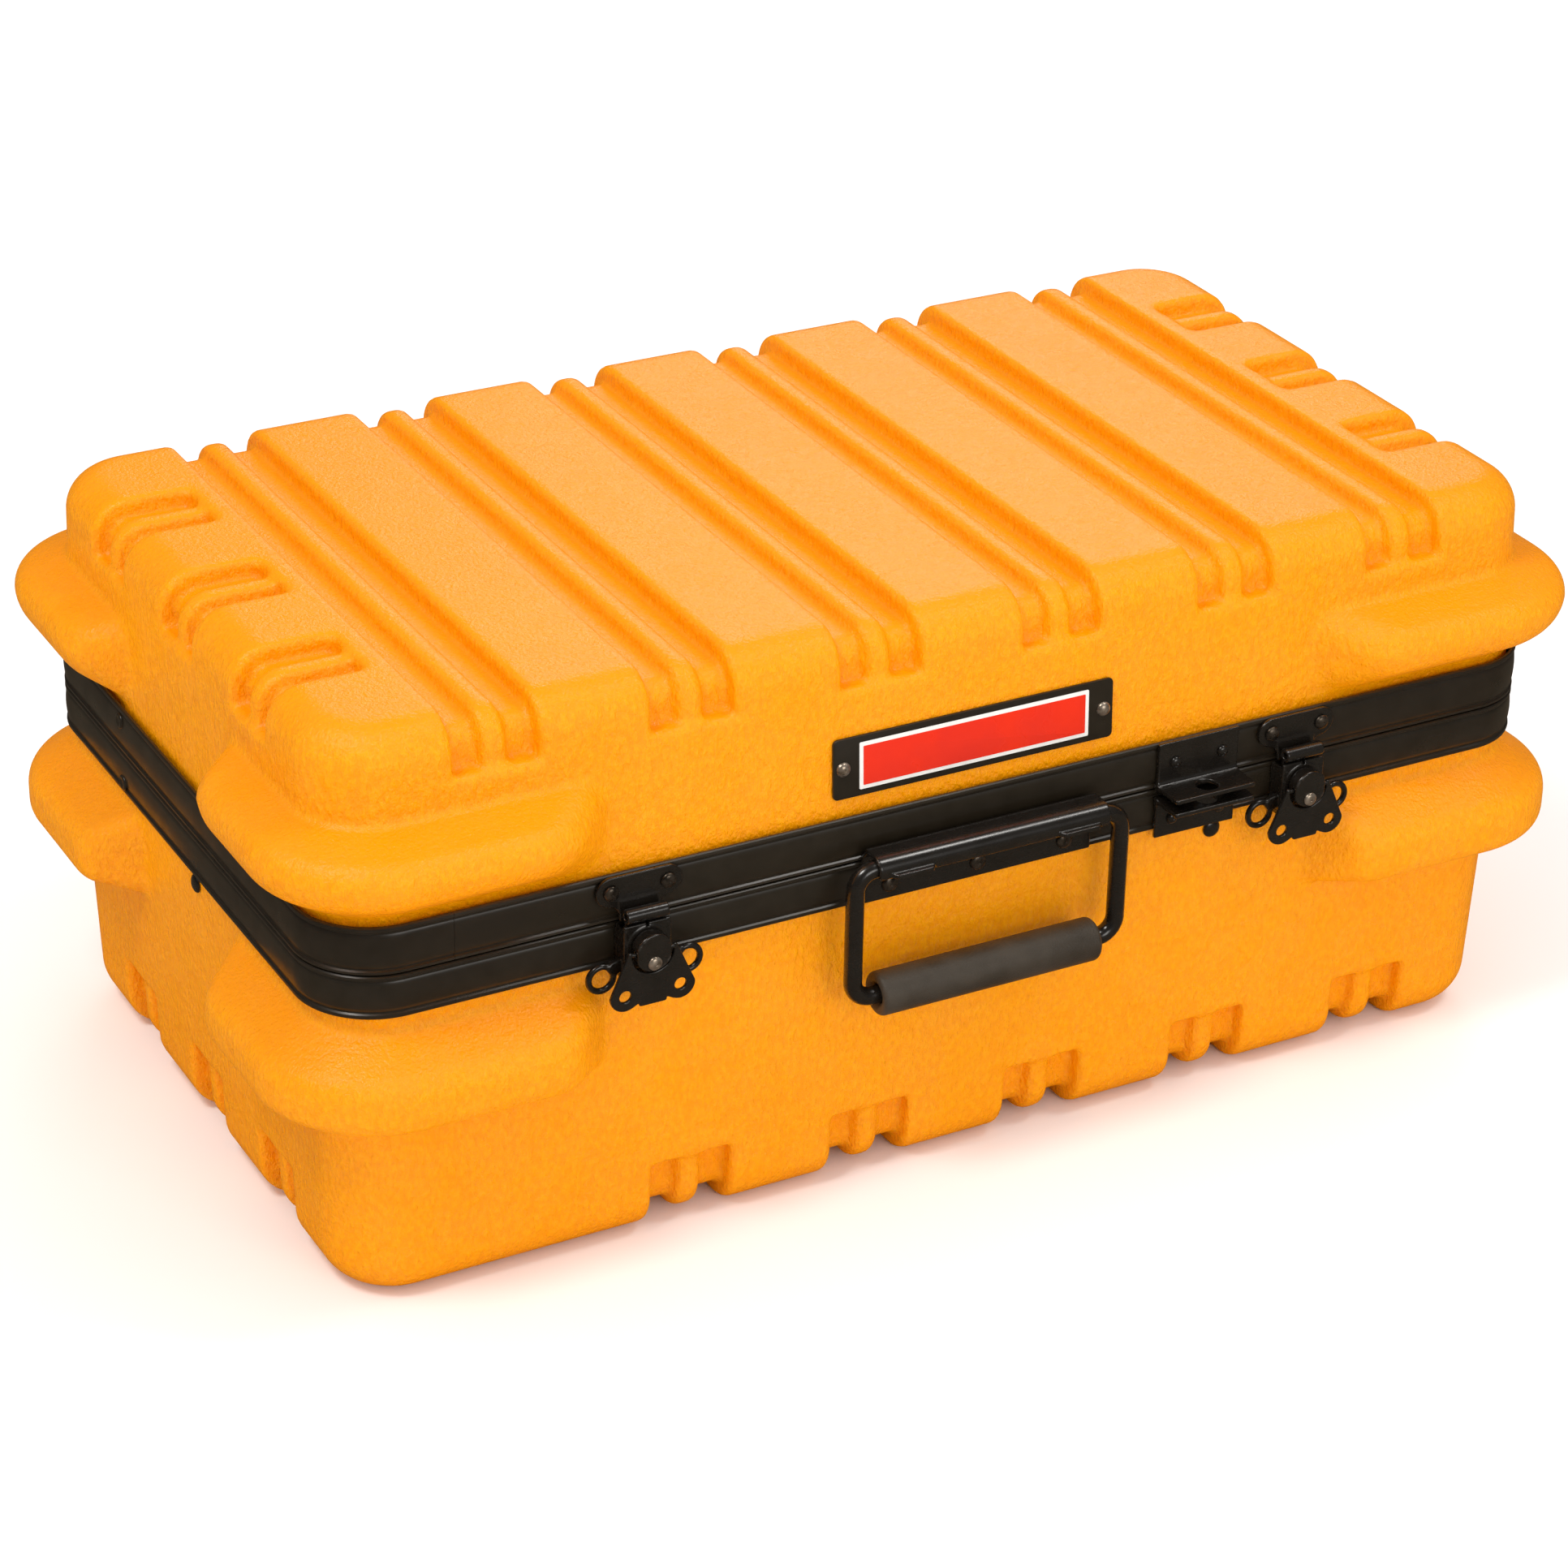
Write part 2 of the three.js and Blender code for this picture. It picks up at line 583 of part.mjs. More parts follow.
// A path through straight runs and quarter bends that keeps its own points as the steps.
class WirePath extends THREE.Curve {
  constructor(points) {
    super();
    this.points = points;
  }

  getPoint(t) {
    const place = t * (this.points.length - 1);
    const index = Math.min(Math.floor(place), this.points.length - 2);
    return this.points[index].clone().lerp(this.points[index + 1], place - index);
  }

  getPointAt(u) {
    return this.getPoint(u);
  }

  getTangentAt(u) {
    const last = this.points.length - 1;
    const index = Math.round(u * last);
    const before = this.points[Math.max(index - 1, 0)];
    const here = this.points[index];
    const after = this.points[Math.min(index + 1, last)];
    const incoming = here.clone().sub(before).normalize();
    const outgoing = after.clone().sub(here).normalize();
    return incoming.add(outgoing).normalize();
  }
}

// The bail: a wire loop whose two ends butt together inside the bracket.
function handleBail() {
  const { pivotY, pivotZ, drop, halfSpan, bend, wire } = HANDLE;
  const bendSteps = 5;
  const points = [new THREE.Vector3(0.5, pivotY, pivotZ)];
  const corners = [
    [halfSpan - bend, pivotZ - bend, 0.5 * Math.PI],
    [halfSpan - bend, pivotZ - drop + bend, 0],
    [-halfSpan + bend, pivotZ - drop + bend, -0.5 * Math.PI],
    [-halfSpan + bend, pivotZ - bend, -Math.PI],
  ];
  for (const [x, z, start] of corners) {
    for (let i = 0; i <= bendSteps; i += 1) {
      const angle = start - (0.5 * Math.PI * i) / bendSteps;
      points.push(new THREE.Vector3(x + bend * Math.cos(angle), pivotY, z + bend * Math.sin(angle)));
    }
  }
  points.push(new THREE.Vector3(-0.5, pivotY, pivotZ));
  const section = new THREE.Shape();
  section.absarc(0, 0, wire, 0, 2 * Math.PI);
  return new THREE.ExtrudeGeometry(section, {
    steps: points.length - 1,
    extrudePath: new WirePath(points),
    curveSegments: 6,
  });
}

// The vinyl grip: a sleeve with rounded ends over the lower run of the bail.
function handleGrip() {
  const bore = HANDLE.wire + GAP;
  const { radius, halfLength } = GRIP;
  const chamfer = 1.6;
  const profile = [
    [bore, -halfLength],
    [radius - chamfer, -halfLength],
    [radius, -halfLength + chamfer],
    [radius, halfLength - chamfer],
    [radius - chamfer, halfLength],
    [bore, halfLength],
    [bore, -halfLength],
  ].map(([r, length]) => new THREE.Vector2(r, length));
  const geometry = new THREE.LatheGeometry(profile, 18).rotateZ(-Math.PI / 2);
  return geometry.translate(0, HANDLE.pivotY, HANDLE.pivotZ - HANDLE.drop);
}

add("handle_bracket", handleBracket(), blackSteel);
add("handle_bail", handleBail(), blackSteel);
add("handle_grip", handleGrip(), gripVinyl);
for (const [name, x] of [["left", -BRACKET.rivetX], ["middle", 0], ["right", BRACKET.rivetX]]) {
  addRivet(`bracket_rivet_${name}`, "front", [x, PLATE_BACK - BRACKET.sheet - SEAT, BRACKET.rivetZ]);
}

// ---------------------------------------------------------------- padlock hasp
const HASP = {
  halfWidth: 18.3,
  reachY: -164,
  corner: 1.2,
  holeY: -157,
  hole: 4.5,
  rivetX: 10.8,
  lid: { leafFrom: 0.5, leafTo: 20.2, flangeFrom: 0.5, rivetZ: 11.5 },
  base: { leafFrom: -20.6, leafTo: -3.6, flangeFrom: -3.6 - PLATE, rivetZ: -13 },
};

// An angle plate: one leaf on the valance, one flange out towards the front with a hole.
function haspPlate({ leafFrom, leafTo, flangeFrom, rivetZ }) {
  const { halfWidth, reachY, corner, holeY, hole, rivetX } = HASP;
  const leaf = box([-halfWidth, PLATE_BACK - PLATE, leafFrom], [halfWidth, PLATE_BACK, leafTo]);
  const outline = new THREE.Shape();
  outline.moveTo(-halfWidth, PLATE_BACK);
  outline.absarc(-halfWidth + corner, reachY + corner, corner, Math.PI, 1.5 * Math.PI);
  outline.absarc(halfWidth - corner, reachY + corner, corner, -0.5 * Math.PI, 0);
  outline.lineTo(halfWidth, PLATE_BACK);
  const flange = slabUpwards(outline, flangeFrom, flangeFrom + PLATE, 3);
  const bore = bar("z", hole, flangeFrom - 1, flangeFrom + PLATE + 1, [0, holeY], 16);
  const holes = [-rivetX, rivetX].map((x) => rivetHole(x, rivetZ, PLATE_BACK));
  return leaf.add(flange).subtract(bore).subtract(union(holes)).translate([HASP_X, 0, 0]);
}

for (const half of ["lid", "base"]) {
  add(`hasp_${half}_plate`, haspPlate(HASP[half]), blackSteel);
  for (const [hand, sign] of [["left", -1], ["right", 1]]) {
    const place = [HASP_X + sign * HASP.rivetX, PLATE_BACK - PLATE - SEAT, HASP[half].rivetZ];
    addRivet(`hasp_${half}_rivet_${hand}`, "front", place, { head: RIVET.smallHead });
  }
}

// ---------------------------------------------------------------- rear hinges
const HINGE_LEAF = { back: BAND.halfY + GAP, reach: 17, clear: 3.4, split: 10, rivetX: 20, rivetZ: 10.5 };

// One leaf, built for the lid: middle knuckle and a plate above it. The base's leaf is
// the same plate turned down, with the two outer knuckles.
function hingeLeaf(knuckles, upwards) {
  const { back, reach, clear, rivetX, rivetZ } = HINGE_LEAF;
  const sign = upwards ? 1 : -1;
  const span = (a, b) => [Math.min(sign * a, sign * b), Math.max(sign * a, sign * b)];
  const [plateLow, plateHigh] = span(clear, reach);
  const [rootLow, rootHigh] = span(0, clear + 1);
  const plate = box([-HINGE.halfWidth, back, plateLow], [HINGE.halfWidth, back + PLATE, plateHigh]);
  const rolls = knuckles.map(([from, to]) =>
    bar("x", HINGE.knuckle, from, to, [HINGE.y, 0], 14).add(
      box([from, back, rootLow], [to, back + PLATE, rootHigh]),
    ),
  );
  const bore = bar("x", HINGE.pin + GAP, -HINGE.halfWidth - 1, HINGE.halfWidth + 1, [HINGE.y, 0], 10);
  const holes = [-rivetX, rivetX].map((x) => rivetHole(x, sign * rivetZ, back));
  return union([plate, ...rolls]).subtract(bore).subtract(union(holes));
}

function hingePin() {
  const end = HINGE.halfWidth + GAP;
  const rod = bar("x", HINGE.pin, -end - 0.5, end + 0.5, [HINGE.y, 0], 10);
  const head = bar("x", HINGE.pinHead, end, end + 1, [HINGE.y, 0], 10);
  return rod.add(head).add(head.mirror([1, 0, 0]));
}

function addHinge(side, x) {
  const hinge = new THREE.Group();
  hinge.position.x = x;
  assembly.add(hinge);
  const { split, back, rivetX, rivetZ } = HINGE_LEAF;
  const middle = [[-split + GAP, split - GAP]];
  const outer = [
    [-HINGE.halfWidth, -split],
    [split, HINGE.halfWidth],
  ];
  add(`hinge_lid_leaf_${side}`, hingeLeaf(middle, true), blackSteel, hinge);
  add(`hinge_base_leaf_${side}`, hingeLeaf(outer, false), blackSteel, hinge);
  add(`hinge_pin_${side}`, hingePin(), gunmetal, hinge);
  const face = back + PLATE + SEAT;
  for (const [hand, sign] of [["a", -1], ["b", 1]]) {
    addRivet(`hinge_lid_rivet_${side}_${hand}`, "rear", [sign * rivetX, face, rivetZ], { parent: hinge });
    addRivet(`hinge_base_rivet_${side}_${hand}`, "rear", [sign * rivetX, face, -rivetZ], { parent: hinge });
  }
}
addHinge("left", -LATCH_X);
addHinge("right", LATCH_X);

// ---------------------------------------------------------------- nameplate and shell rivets
const NAMEPLATE = { halfX: 61, halfZ: 12.3, corner: 2, z: 38.6, thick: 1, rivetX: 56.8 };
const LABEL = { halfX: 51, halfZ: 9.8, corner: 0.8, thick: 0.5 };

// The nameplate leans back with the lid's drafted front wall.
function addNameplate() {
  const lean = Math.atan2(LID_DRAFT.y, LID_HEIGHT);
  const wallY = -SHELL.halfY + (LID_DRAFT.y * NAMEPLATE.z) / LID_HEIGHT;
  const stand = new THREE.Group();
  stand.position.set(0, wallY, NAMEPLATE.z);
  stand.rotation.x = -lean;
  assembly.add(stand);
  const plateFront = -GAP - NAMEPLATE.thick;
  const rivetHoles = [-1, 1].map((side) => rivetHole(side * NAMEPLATE.rivetX, 0, 0));
  const plateOutline = roundedRectangle(NAMEPLATE.halfX, NAMEPLATE.halfZ, NAMEPLATE.corner);
  const plate = plateFacingFront(plateOutline, plateFront, -GAP, 3);
  add("nameplate", plate.subtract(union(rivetHoles)), blackAluminium, stand);
  const labelBack = plateFront - SEAT;
  const labelOutline = roundedRectangle(LABEL.halfX, LABEL.halfZ, LABEL.corner);
  const label = plateFacingFront(labelOutline, labelBack - LABEL.thick, labelBack, 2);
  add("nameplate_label", label, labelRed, stand);
  for (const [hand, sign] of [["left", -1], ["right", 1]]) {
    const place = [sign * NAMEPLATE.rivetX, plateFront - SEAT, 0];
    const options = { parent: stand, grip: NAMEPLATE.thick / 2 };
    addRivet(`nameplate_rivet_${hand}`, "front", place, options);
  }
}
addNameplate();

const SHELL_RIVET = { z: -25.7, head: 3.8, frontX: 110.3, leftY: -10, grip: 0.2 };
const SHELL_SEAT = 0.4; // clears the drafted wall
const baseWallAt = (half, draft) => half + (draft * SHELL_RIVET.z) / BASE_DEPTH;
const frontWall = -baseWallAt(SHELL.halfY, BASE_DRAFT.y);
const leftWall = -baseWallAt(SHELL.halfX, BASE_DRAFT.x);
const { z: shellRivetZ, head, grip, frontX, leftY } = SHELL_RIVET;
addRivet("shell_rivet_front", "front", [frontX, frontWall - SHELL_SEAT, shellRivetZ], { head, grip });
addRivet("shell_rivet_left", "left", [leftWall - SHELL_SEAT, leftY, shellRivetZ], { head, grip });

export default model;
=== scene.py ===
"""Looks of the hard equipment case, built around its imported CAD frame.

Moulded and pressed pieces are signed-distance fields: functions that are negative inside
the piece. Each is meshed on a grid and its points are moved onto the exact surface.
Fields work in millimetres, from the middle of the case at the parting plane, where the
two rim valances meet. +X is right along the front, -Y the front, +Z up.
"""
import math
from types import SimpleNamespace

import bmesh
import bpy
import numpy as np
from mathutils import Matrix, Vector


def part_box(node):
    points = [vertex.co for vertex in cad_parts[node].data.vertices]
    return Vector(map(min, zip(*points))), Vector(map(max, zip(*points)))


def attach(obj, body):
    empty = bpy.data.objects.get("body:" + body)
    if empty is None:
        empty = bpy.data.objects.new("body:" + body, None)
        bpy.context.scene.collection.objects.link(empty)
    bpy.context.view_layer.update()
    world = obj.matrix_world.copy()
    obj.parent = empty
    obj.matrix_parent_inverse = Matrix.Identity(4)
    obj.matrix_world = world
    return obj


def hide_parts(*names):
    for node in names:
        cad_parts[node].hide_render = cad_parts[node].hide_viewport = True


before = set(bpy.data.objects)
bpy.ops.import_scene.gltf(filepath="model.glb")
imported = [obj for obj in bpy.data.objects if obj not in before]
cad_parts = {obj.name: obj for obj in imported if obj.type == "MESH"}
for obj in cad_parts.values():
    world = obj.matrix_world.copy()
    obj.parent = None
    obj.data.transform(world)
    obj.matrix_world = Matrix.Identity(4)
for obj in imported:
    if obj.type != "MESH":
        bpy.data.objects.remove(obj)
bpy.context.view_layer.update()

MM = 0.001
GAP = 0.3  # clearance between touching pieces


def box_mm(node):
    """A CAD node's lowest and highest corner, in millimetres."""
    low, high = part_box(node)
    return [value / MM for value in low], [value / MM for value in high]


def parting_box(node):
    """The same, with heights from the parting plane."""
    low, high = box_mm(node)
    return [*low[:2], low[2] - PARTING], [*high[:2], high[2] - PARTING]


# ------------------------------------------------ places from the frame
BAND_LOW, BAND_HIGH = box_mm("lid_valance")
PARTING = BAND_LOW[2] - GAP
BAND_X, BAND_Y = BAND_HIGH[0], BAND_HIGH[1]
LID_BAND = BAND_HIGH[2] - PARTING
BASE_BAND = PARTING - box_mm("base_valance")[0][2]
LID_HEIGHT = box_mm("lid_shell")[1][2] - PARTING
BASE_HEIGHT = PARTING
BUMPER_X = box_mm("lid_shell")[1][0]
BUMPER_Y = box_mm("lid_shell")[1][1]
HUB_LOW, HUB_HIGH = box_mm("latch_hub_right")
LATCH_X = (HUB_LOW[0] + HUB_HIGH[0]) / 2
HASP_LOW, HASP_HIGH = box_mm("hasp_lid_plate")
HASP_X = (HASP_LOW[0] + HASP_HIGH[0]) / 2
GRIP_LOW, GRIP_HIGH = box_mm("handle_grip")

BAND_CORNER = 31.6
FACE = -BAND_Y - GAP  # back face of everything fixed to the front valances
SHELL_INSET = 3.0  # from the valances' outer face to the shells' outer face
WALL_X = BAND_X - SHELL_INSET
WALL_Y = BAND_Y - SHELL_INSET


# ------------------------------------------------ combining fields
def smooth_max(a, b, blend):
    overlap = np.maximum(blend - np.abs(a - b), 0.0)
    return np.maximum(a, b) + overlap * overlap / (4.0 * blend)


def smooth_min(a, b, blend):
    return -smooth_max(-a, -b, blend)


def rounded_max(a, b, radius):
    """The overlap of two fields, with a true round of that radius along its edge."""
    corner = np.sqrt(np.maximum(a + radius, 0.0) ** 2 + np.maximum(b + radius, 0.0) ** 2)
    return np.minimum(np.maximum(a, b), -radius) + corner


def rounded_rectangle(x, y, half_x, half_y, radius):
    across = np.abs(x) - (half_x - radius)
    along = np.abs(y) - (half_y - radius)
    outside = np.sqrt(np.maximum(across, 0.0) ** 2 + np.maximum(along, 0.0) ** 2)
    return outside + np.minimum(np.maximum(across, along), 0.0) - radius


def block(x, y, z, low, high, edge=0.3):
    """A box from its lowest to its highest corner, with small rounded edges."""
    depths = []
    for value, start, end in zip((x, y, z), low, high):
        depths.append(np.abs(value - (start + end) / 2) - (end - start) / 2 + edge)
    outside = sum(np.maximum(depth, 0.0) ** 2 for depth in depths)
    inside = np.maximum(np.maximum(depths[0], depths[1]), depths[2])
    return np.sqrt(outside) + np.minimum(inside, 0.0) - edge


def bar(across, up, along, radius, start, end, edge=0.3):
    """A round bar; across and up are measured from its middle line."""
    side = np.sqrt(across * across + up * up) - radius
    ends = np.abs(along - (start + end) / 2) - (end - start) / 2
    return rounded_max(side, ends, edge)


def above_line(p, q, start, end):
    """Distance above the line through two points of the plane of p and q."""
    run = end[0] - start[0]
    rise = end[1] - start[1]
    return ((q - start[1]) * run - (p - start[0]) * rise) / math.hypot(run, rise)


def segment(p, q, start, end):
    """Distance from a straight segment in the plane of p and q."""
    run = end[0] - start[0]
    rise = end[1] - start[1]
    share = ((p - start[0]) * run + (q - start[1]) * rise) / (run * run + rise * rise)
    share = np.clip(share, 0.0, 1.0)
    return np.sqrt((p - start[0] - share * run) ** 2 + (q - start[1] - share * rise) ** 2)


def nearest(value, middles):
    """Distance from the nearest of several middle lines."""
    return np.min([np.abs(value - middle) for middle in middles], axis=0)


# ------------------------------------------------ meshing fields
def surface_net(field, low, high, cell):
    """Vertices and quads on a field's surface: one vertex in every cell it crosses."""
    steps = [np.arange(a, b + cell, cell, dtype=np.float32) for a, b in zip(low, high)]
    values = field(*np.meshgrid(*steps, indexing="ij", sparse=True))
    values = np.broadcast_to(values, [len(step) for step in steps])
    inside = values < 0.0
    strides = np.array([values.shape[1] * values.shape[2], values.shape[2], 1])
    crossings, cells = [], []
    for axis in range(3):
        unit = np.eye(3, dtype=int)
        count = values.shape[axis] - 1
        starts = inside.take(range(count), axis)
        changes = starts != inside.take(range(1, count + 1), axis)
        edges = np.argwhere(changes)
        first = values[tuple(edges.T)]
        second = values[tuple((edges + unit[axis]).T)]
        share = first / (first - second)
        crossings.append(edges + share[:, None] * unit[axis])
        u, v = unit[(axis + 1) % 3], unit[(axis + 2) % 3]
        ring = np.stack([edges - u - v, edges - v, edges, edges - u], 1) @ strides
        outwards = first < 0.0
        ring[~outwards] = ring[~outwards][:, ::-1]
        cells.append(ring)
    crossings = np.concatenate(crossings)
    cells = np.concatenate(cells)
    faces = np.unique(cells.ravel(), return_inverse=True)[1]
    totals = np.bincount(faces)
    places = [np.bincount(faces, weights=np.repeat(crossings[:, k], 4)) / totals for k in range(3)]
    vertices = np.stack(places, 1) * cell + np.array(low)
    return settle(vertices, field, cell), faces.reshape(-1, 4)


def settle(vertices, field, cell):
    """Moves vertices onto the field's surface with a few Newton steps."""
    probe = 0.02 * cell
    for _ in range(3):
        x, y, z = vertices.T
        value = field(x, y, z)
        slope = np.stack(
            [
                field(x + probe, y, z) - value,
                field(x, y + probe, z) - value,
                field(x, y, z + probe) - value,
            ],
            1,
        )
        slope /= probe
        steepness = np.maximum((slope**2).sum(1), 0.1)
        move = np.clip(value / steepness, -0.4 * cell, 0.4 * cell)
        vertices = vertices - move[:, None] * slope
    return vertices


def mesh_piece(name, vertices, faces, material):
    """A smooth mesh object from vertices in millimetres from the parting plane."""
    places = (np.array(vertices) + (0.0, 0.0, PARTING)) * MM
    mesh = bpy.data.meshes.new(name)
    mesh.from_pydata(places.tolist(), [], faces)
    mesh.polygons.foreach_set("use_smooth", [True] * len(mesh.polygons))
    mesh.materials.append(material)
    piece = bpy.data.objects.new(name, mesh)
    bpy.context.scene.collection.objects.link(piece)
    return piece


def creased_piece(name, vertices, faces, material, crease, weld=False):
    """A mesh piece with its normals facing out, creased where faces turn by more degrees."""
    piece = mesh_piece(name, vertices, faces, material)
    work = bmesh.new()
    work.from_mesh(piece.data)
    if weld:
        bmesh.ops.remove_doubles(work, verts=work.verts, dist=1e-6)
    bmesh.ops.recalc_face_normals(work, faces=work.faces)
    work.to_mesh(piece.data)
    work.free()
    piece.data.set_sharp_from_angle(angle=math.radians(crease))
    return piece


def field_piece(name, field, low, high, cell, material):
    margin = 2.0 * cell
    low = [value - margin for value in low]
    high = [value + margin for value in high]
    vertices, faces = surface_net(field, low, high, cell)
    return mesh_piece(name, vertices, faces.tolist(), material)


def stand_for(piece, body, slot, *nodes):
    """Puts a piece on its body in place of CAD nodes; slot is not used."""
    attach(piece, body)
    if nodes:
        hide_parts(*nodes)
    return piece


# ------------------------------------------------ material building
def new_material(name):
    material = bpy.data.materials.new(name)
    material.use_nodes = True
    tree = material.node_tree
    shader = tree.nodes["Principled BSDF"]
    return material, tree, shader


def node(tree, kind, **inputs):
    """A node with its inputs set; a socket given as a value is linked."""
    made = tree.nodes.new(kind)
    for key, value in inputs.items():
        socket = made.inputs[key.replace("_", " ")]
        if isinstance(value, bpy.types.NodeSocket):
            tree.links.new(value, socket)
        else:
            socket.default_value = value
    return made


def stretched(tree, scale=(1.0, 1.0, 1.0)):
    place = tree.nodes.new("ShaderNodeTexCoord")
    mapping = node(tree, "ShaderNodeMapping", Vector=place.outputs["Object"], Scale=scale)
    return mapping.outputs["Vector"]


def noise(tree, scale, detail=3.0, stretch=(1.0, 1.0, 1.0), roughness=0.5):
    made = node(
        tree,
        "ShaderNodeTexNoise",
        Vector=stretched(tree, stretch),
        Scale=scale,
        Detail=detail,
        Roughness=roughness,
    )
    return made.outputs["Fac"]


def wavering(tree, vector, scale, reach):
    """A position pushed about by noise, so cells don't look ruled."""
    push = node(tree, "ShaderNodeTexNoise", Vector=vector, Scale=scale, Detail=1.0)
    centred = tree.nodes.new("ShaderNodeVectorMath")
    centred.operation = "MULTIPLY_ADD"
    tree.links.new(push.outputs["Color"], centred.inputs[0])
    centred.inputs[1].default_value = (reach, reach, reach)
    tree.links.new(vector, centred.inputs[2])
    return centred.outputs["Vector"]


def spread(tree, value, low, high, from_low=0.3, from_high=0.7):
    """Maps a 0 to 1 pattern onto a range."""
    made = tree.nodes.new("ShaderNodeMapRange")
    tree.links.new(value, made.inputs["Value"])
    made.inputs["From Min"].default_value = from_low
    made.inputs["From Max"].default_value = from_high
    made.inputs["To Min"].default_value = low
    made.inputs["To Max"].default_value = high
    return made.outputs["Result"]


def colour_mix(tree, factor, first, second):
    made = tree.nodes.new("ShaderNodeMix")
    made.data_type = "RGBA"
    sockets = {"Factor": factor, "A": first, "B": second}
    for socket in made.inputs:
        if socket.enabled and socket.name in sockets:
            value = sockets.pop(socket.name)
            if isinstance(value, bpy.types.NodeSocket):
                tree.links.new(value, socket)
            elif socket.name == "Factor":
                socket.default_value = value
            else:
                socket.default_value = (*value, 1.0)
    return [output for output in made.outputs if output.enabled][0]


def calculate(tree, operation, first, second=0.0):
    made = tree.nodes.new("ShaderNodeMath")
    made.operation = operation
    for socket, value in zip(made.inputs, (first, second)):
        if isinstance(value, bpy.types.NodeSocket):
            tree.links.new(value, socket)
        else:
            socket.default_value = value
    return made.outputs["Value"]


def bump(tree, height, strength, distance, normal=None):
    made = node(tree, "ShaderNodeBump", Height=height, Strength=strength, Distance=distance)
    if normal:
        tree.links.new(normal, made.inputs["Normal"])
    return made.outputs["Normal"]


def edge_wear_and_glint(tree, low=0.52, high=0.6):
    """0 on flats, 1 on sharp convex edges: rubbed edges on metal, a painted highlight on the plastic."""
    geometry = tree.nodes.new("ShaderNodeNewGeometry")
    return spread(tree, geometry.outputs["Pointiness"], 0.0, 1.0, low, high)


# ------------------------------------------------ materials
def shell_plastic():
    """Yellow-orange moulded plastic: fine haircell on top, coarser wrinkles on the walls, with painted
    highlights on the wrinkles' crests and on sharp edges.
    """
    material, tree, shader = new_material("shell_plastic")
    geometry = tree.nodes.new("ShaderNodeNewGeometry")
    split = node(tree, "ShaderNodeSeparateXYZ", Vector=geometry.outputs["True Normal"])
    level = calculate(tree, "ABSOLUTE", split.outputs["Z"])
    wall_share = spread(tree, level, 1.0, 0.3, 0.45, 0.9)

    creases = noise(tree, 760.0, 3.0, (1.0, 1.0, 0.4), 0.65)
    leather = node(
        tree,
        "ShaderNodeTexVoronoi",
        Vector=wavering(tree, stretched(tree, (1.0, 1.0, 0.7)), 260.0, 0.0016),
        Scale=380.0,
        Randomness=1.0,
    ).outputs["Distance"]
    walls = calculate(tree, "SUBTRACT", creases, calculate(tree, "MULTIPLY", leather, 0.45))
    wall_height = calculate(tree, "MULTIPLY", walls, wall_share)
    haircell = noise(tree, 850.0, 2.0)

    drift = spread(tree, noise(tree, 9.0, 2.0), 0.0, 1.0)
    base = colour_mix(tree, drift, (0.90, 0.285, 0.0), (0.92, 0.295, 0.0))
    # Paler on the crests of the wall wrinkles: a painted highlight, as if each bump caught the light.
    crest = calculate(tree, "MULTIPLY", spread(tree, walls, 0.05, 0.6, 0.12, 0.48), wall_share)
    base = colour_mix(tree, crest, base, (1.0, 0.39, 0.0))
    # Paler on sharp edges: a painted highlight along them.
    edges = calculate(tree, "MULTIPLY", edge_wear_and_glint(tree, 0.53, 0.66), 0.3)
    tree.links.new(colour_mix(tree, edges, base, (1.0, 0.41, 0.0)), shader.inputs["Base Color"])

    tree.links.new(spread(tree, noise(tree, 60.0, 4.0), 0.22, 0.32), shader.inputs["Roughness"])
    shader.inputs["Specular IOR Level"].default_value = 0.30

    normal = bump(tree, noise(tree, 22.0, 1.0), 0.2, 0.0006)
    normal = bump(tree, wall_height, 1.0, 0.0008, normal)
    normal = bump(tree, haircell, 0.9, 0.0004, normal)
    tree.links.new(normal, shader.inputs["Normal"])
    return material


def black_metal(name, colour, roughness, grain, sheen, coat=0.0):
    """Black coated metal with a faint grain, a little paler where edges are rubbed."""
    material, tree, shader = new_material(name)
    rubbed = tuple(min(1.0, channel * 4.0 + 0.03) for channel in colour)
    cloudy = spread(tree, noise(tree, 130.0, 4.0), 0.0, 0.06)
    edges = calculate(tree, "MULTIPLY", edge_wear_and_glint(tree, 0.55, 0.7), 0.5)
    tint = calculate(tree, "MAXIMUM", cloudy, edges)
    tree.links.new(colour_mix(tree, tint, colour, rubbed), shader.inputs["Base Color"])
    streaks = noise(tree, grain, 3.0, (0.3, 1.0, 1.0))
    tree.links.new(spread(tree, streaks, roughness - 0.03, roughness + 0.05), shader.inputs["Roughness"])
    shader.inputs["Specular IOR Level"].default_value = sheen
    shader.inputs["Coat Weight"].default_value = coat
    shader.inputs["Coat Roughness"].default_value = 0.18
    tree.links.new(bump(tree, streaks, 0.15, 0.00008), shader.inputs["Normal"])
    return material


def bare_steel(name, darker, lighter):
    """Plated metal, mottled between two tones."""
    material, tree, shader = new_material(name)
    marks = noise(tree, 420.0, 4.0)
    base = colour_mix(tree, spread(tree, marks, 0.0, 1.0), darker, lighter)
    tree.links.new(base, shader.inputs["Base Color"])
    shader.inputs["Metallic"].default_value = 0.85
    tree.links.new(spread(tree, marks, 0.22, 0.4), shader.inputs["Roughness"])
    tree.links.new(bump(tree, marks, 0.2, 0.0001), shader.inputs["Normal"])
    return material


def grip_vinyl():
    material, tree, shader = new_material("grip_vinyl")
    pores = noise(tree, 1500.0, 3.0)
    cloudy = noise(tree, 70.0, 3.0)
    tree.links.new(
        colour_mix(tree, spread(tree, cloudy, 0.0, 1.0), (0.034, 0.024, 0.014), (0.055, 0.041, 0.026)),
        shader.inputs["Base Color"],
    )
    tree.links.new(spread(tree, cloudy, 0.42, 0.56), shader.inputs["Roughness"])
    tree.links.new(bump(tree, pores, 0.8, 0.0003), shader.inputs["Normal"])
    return material


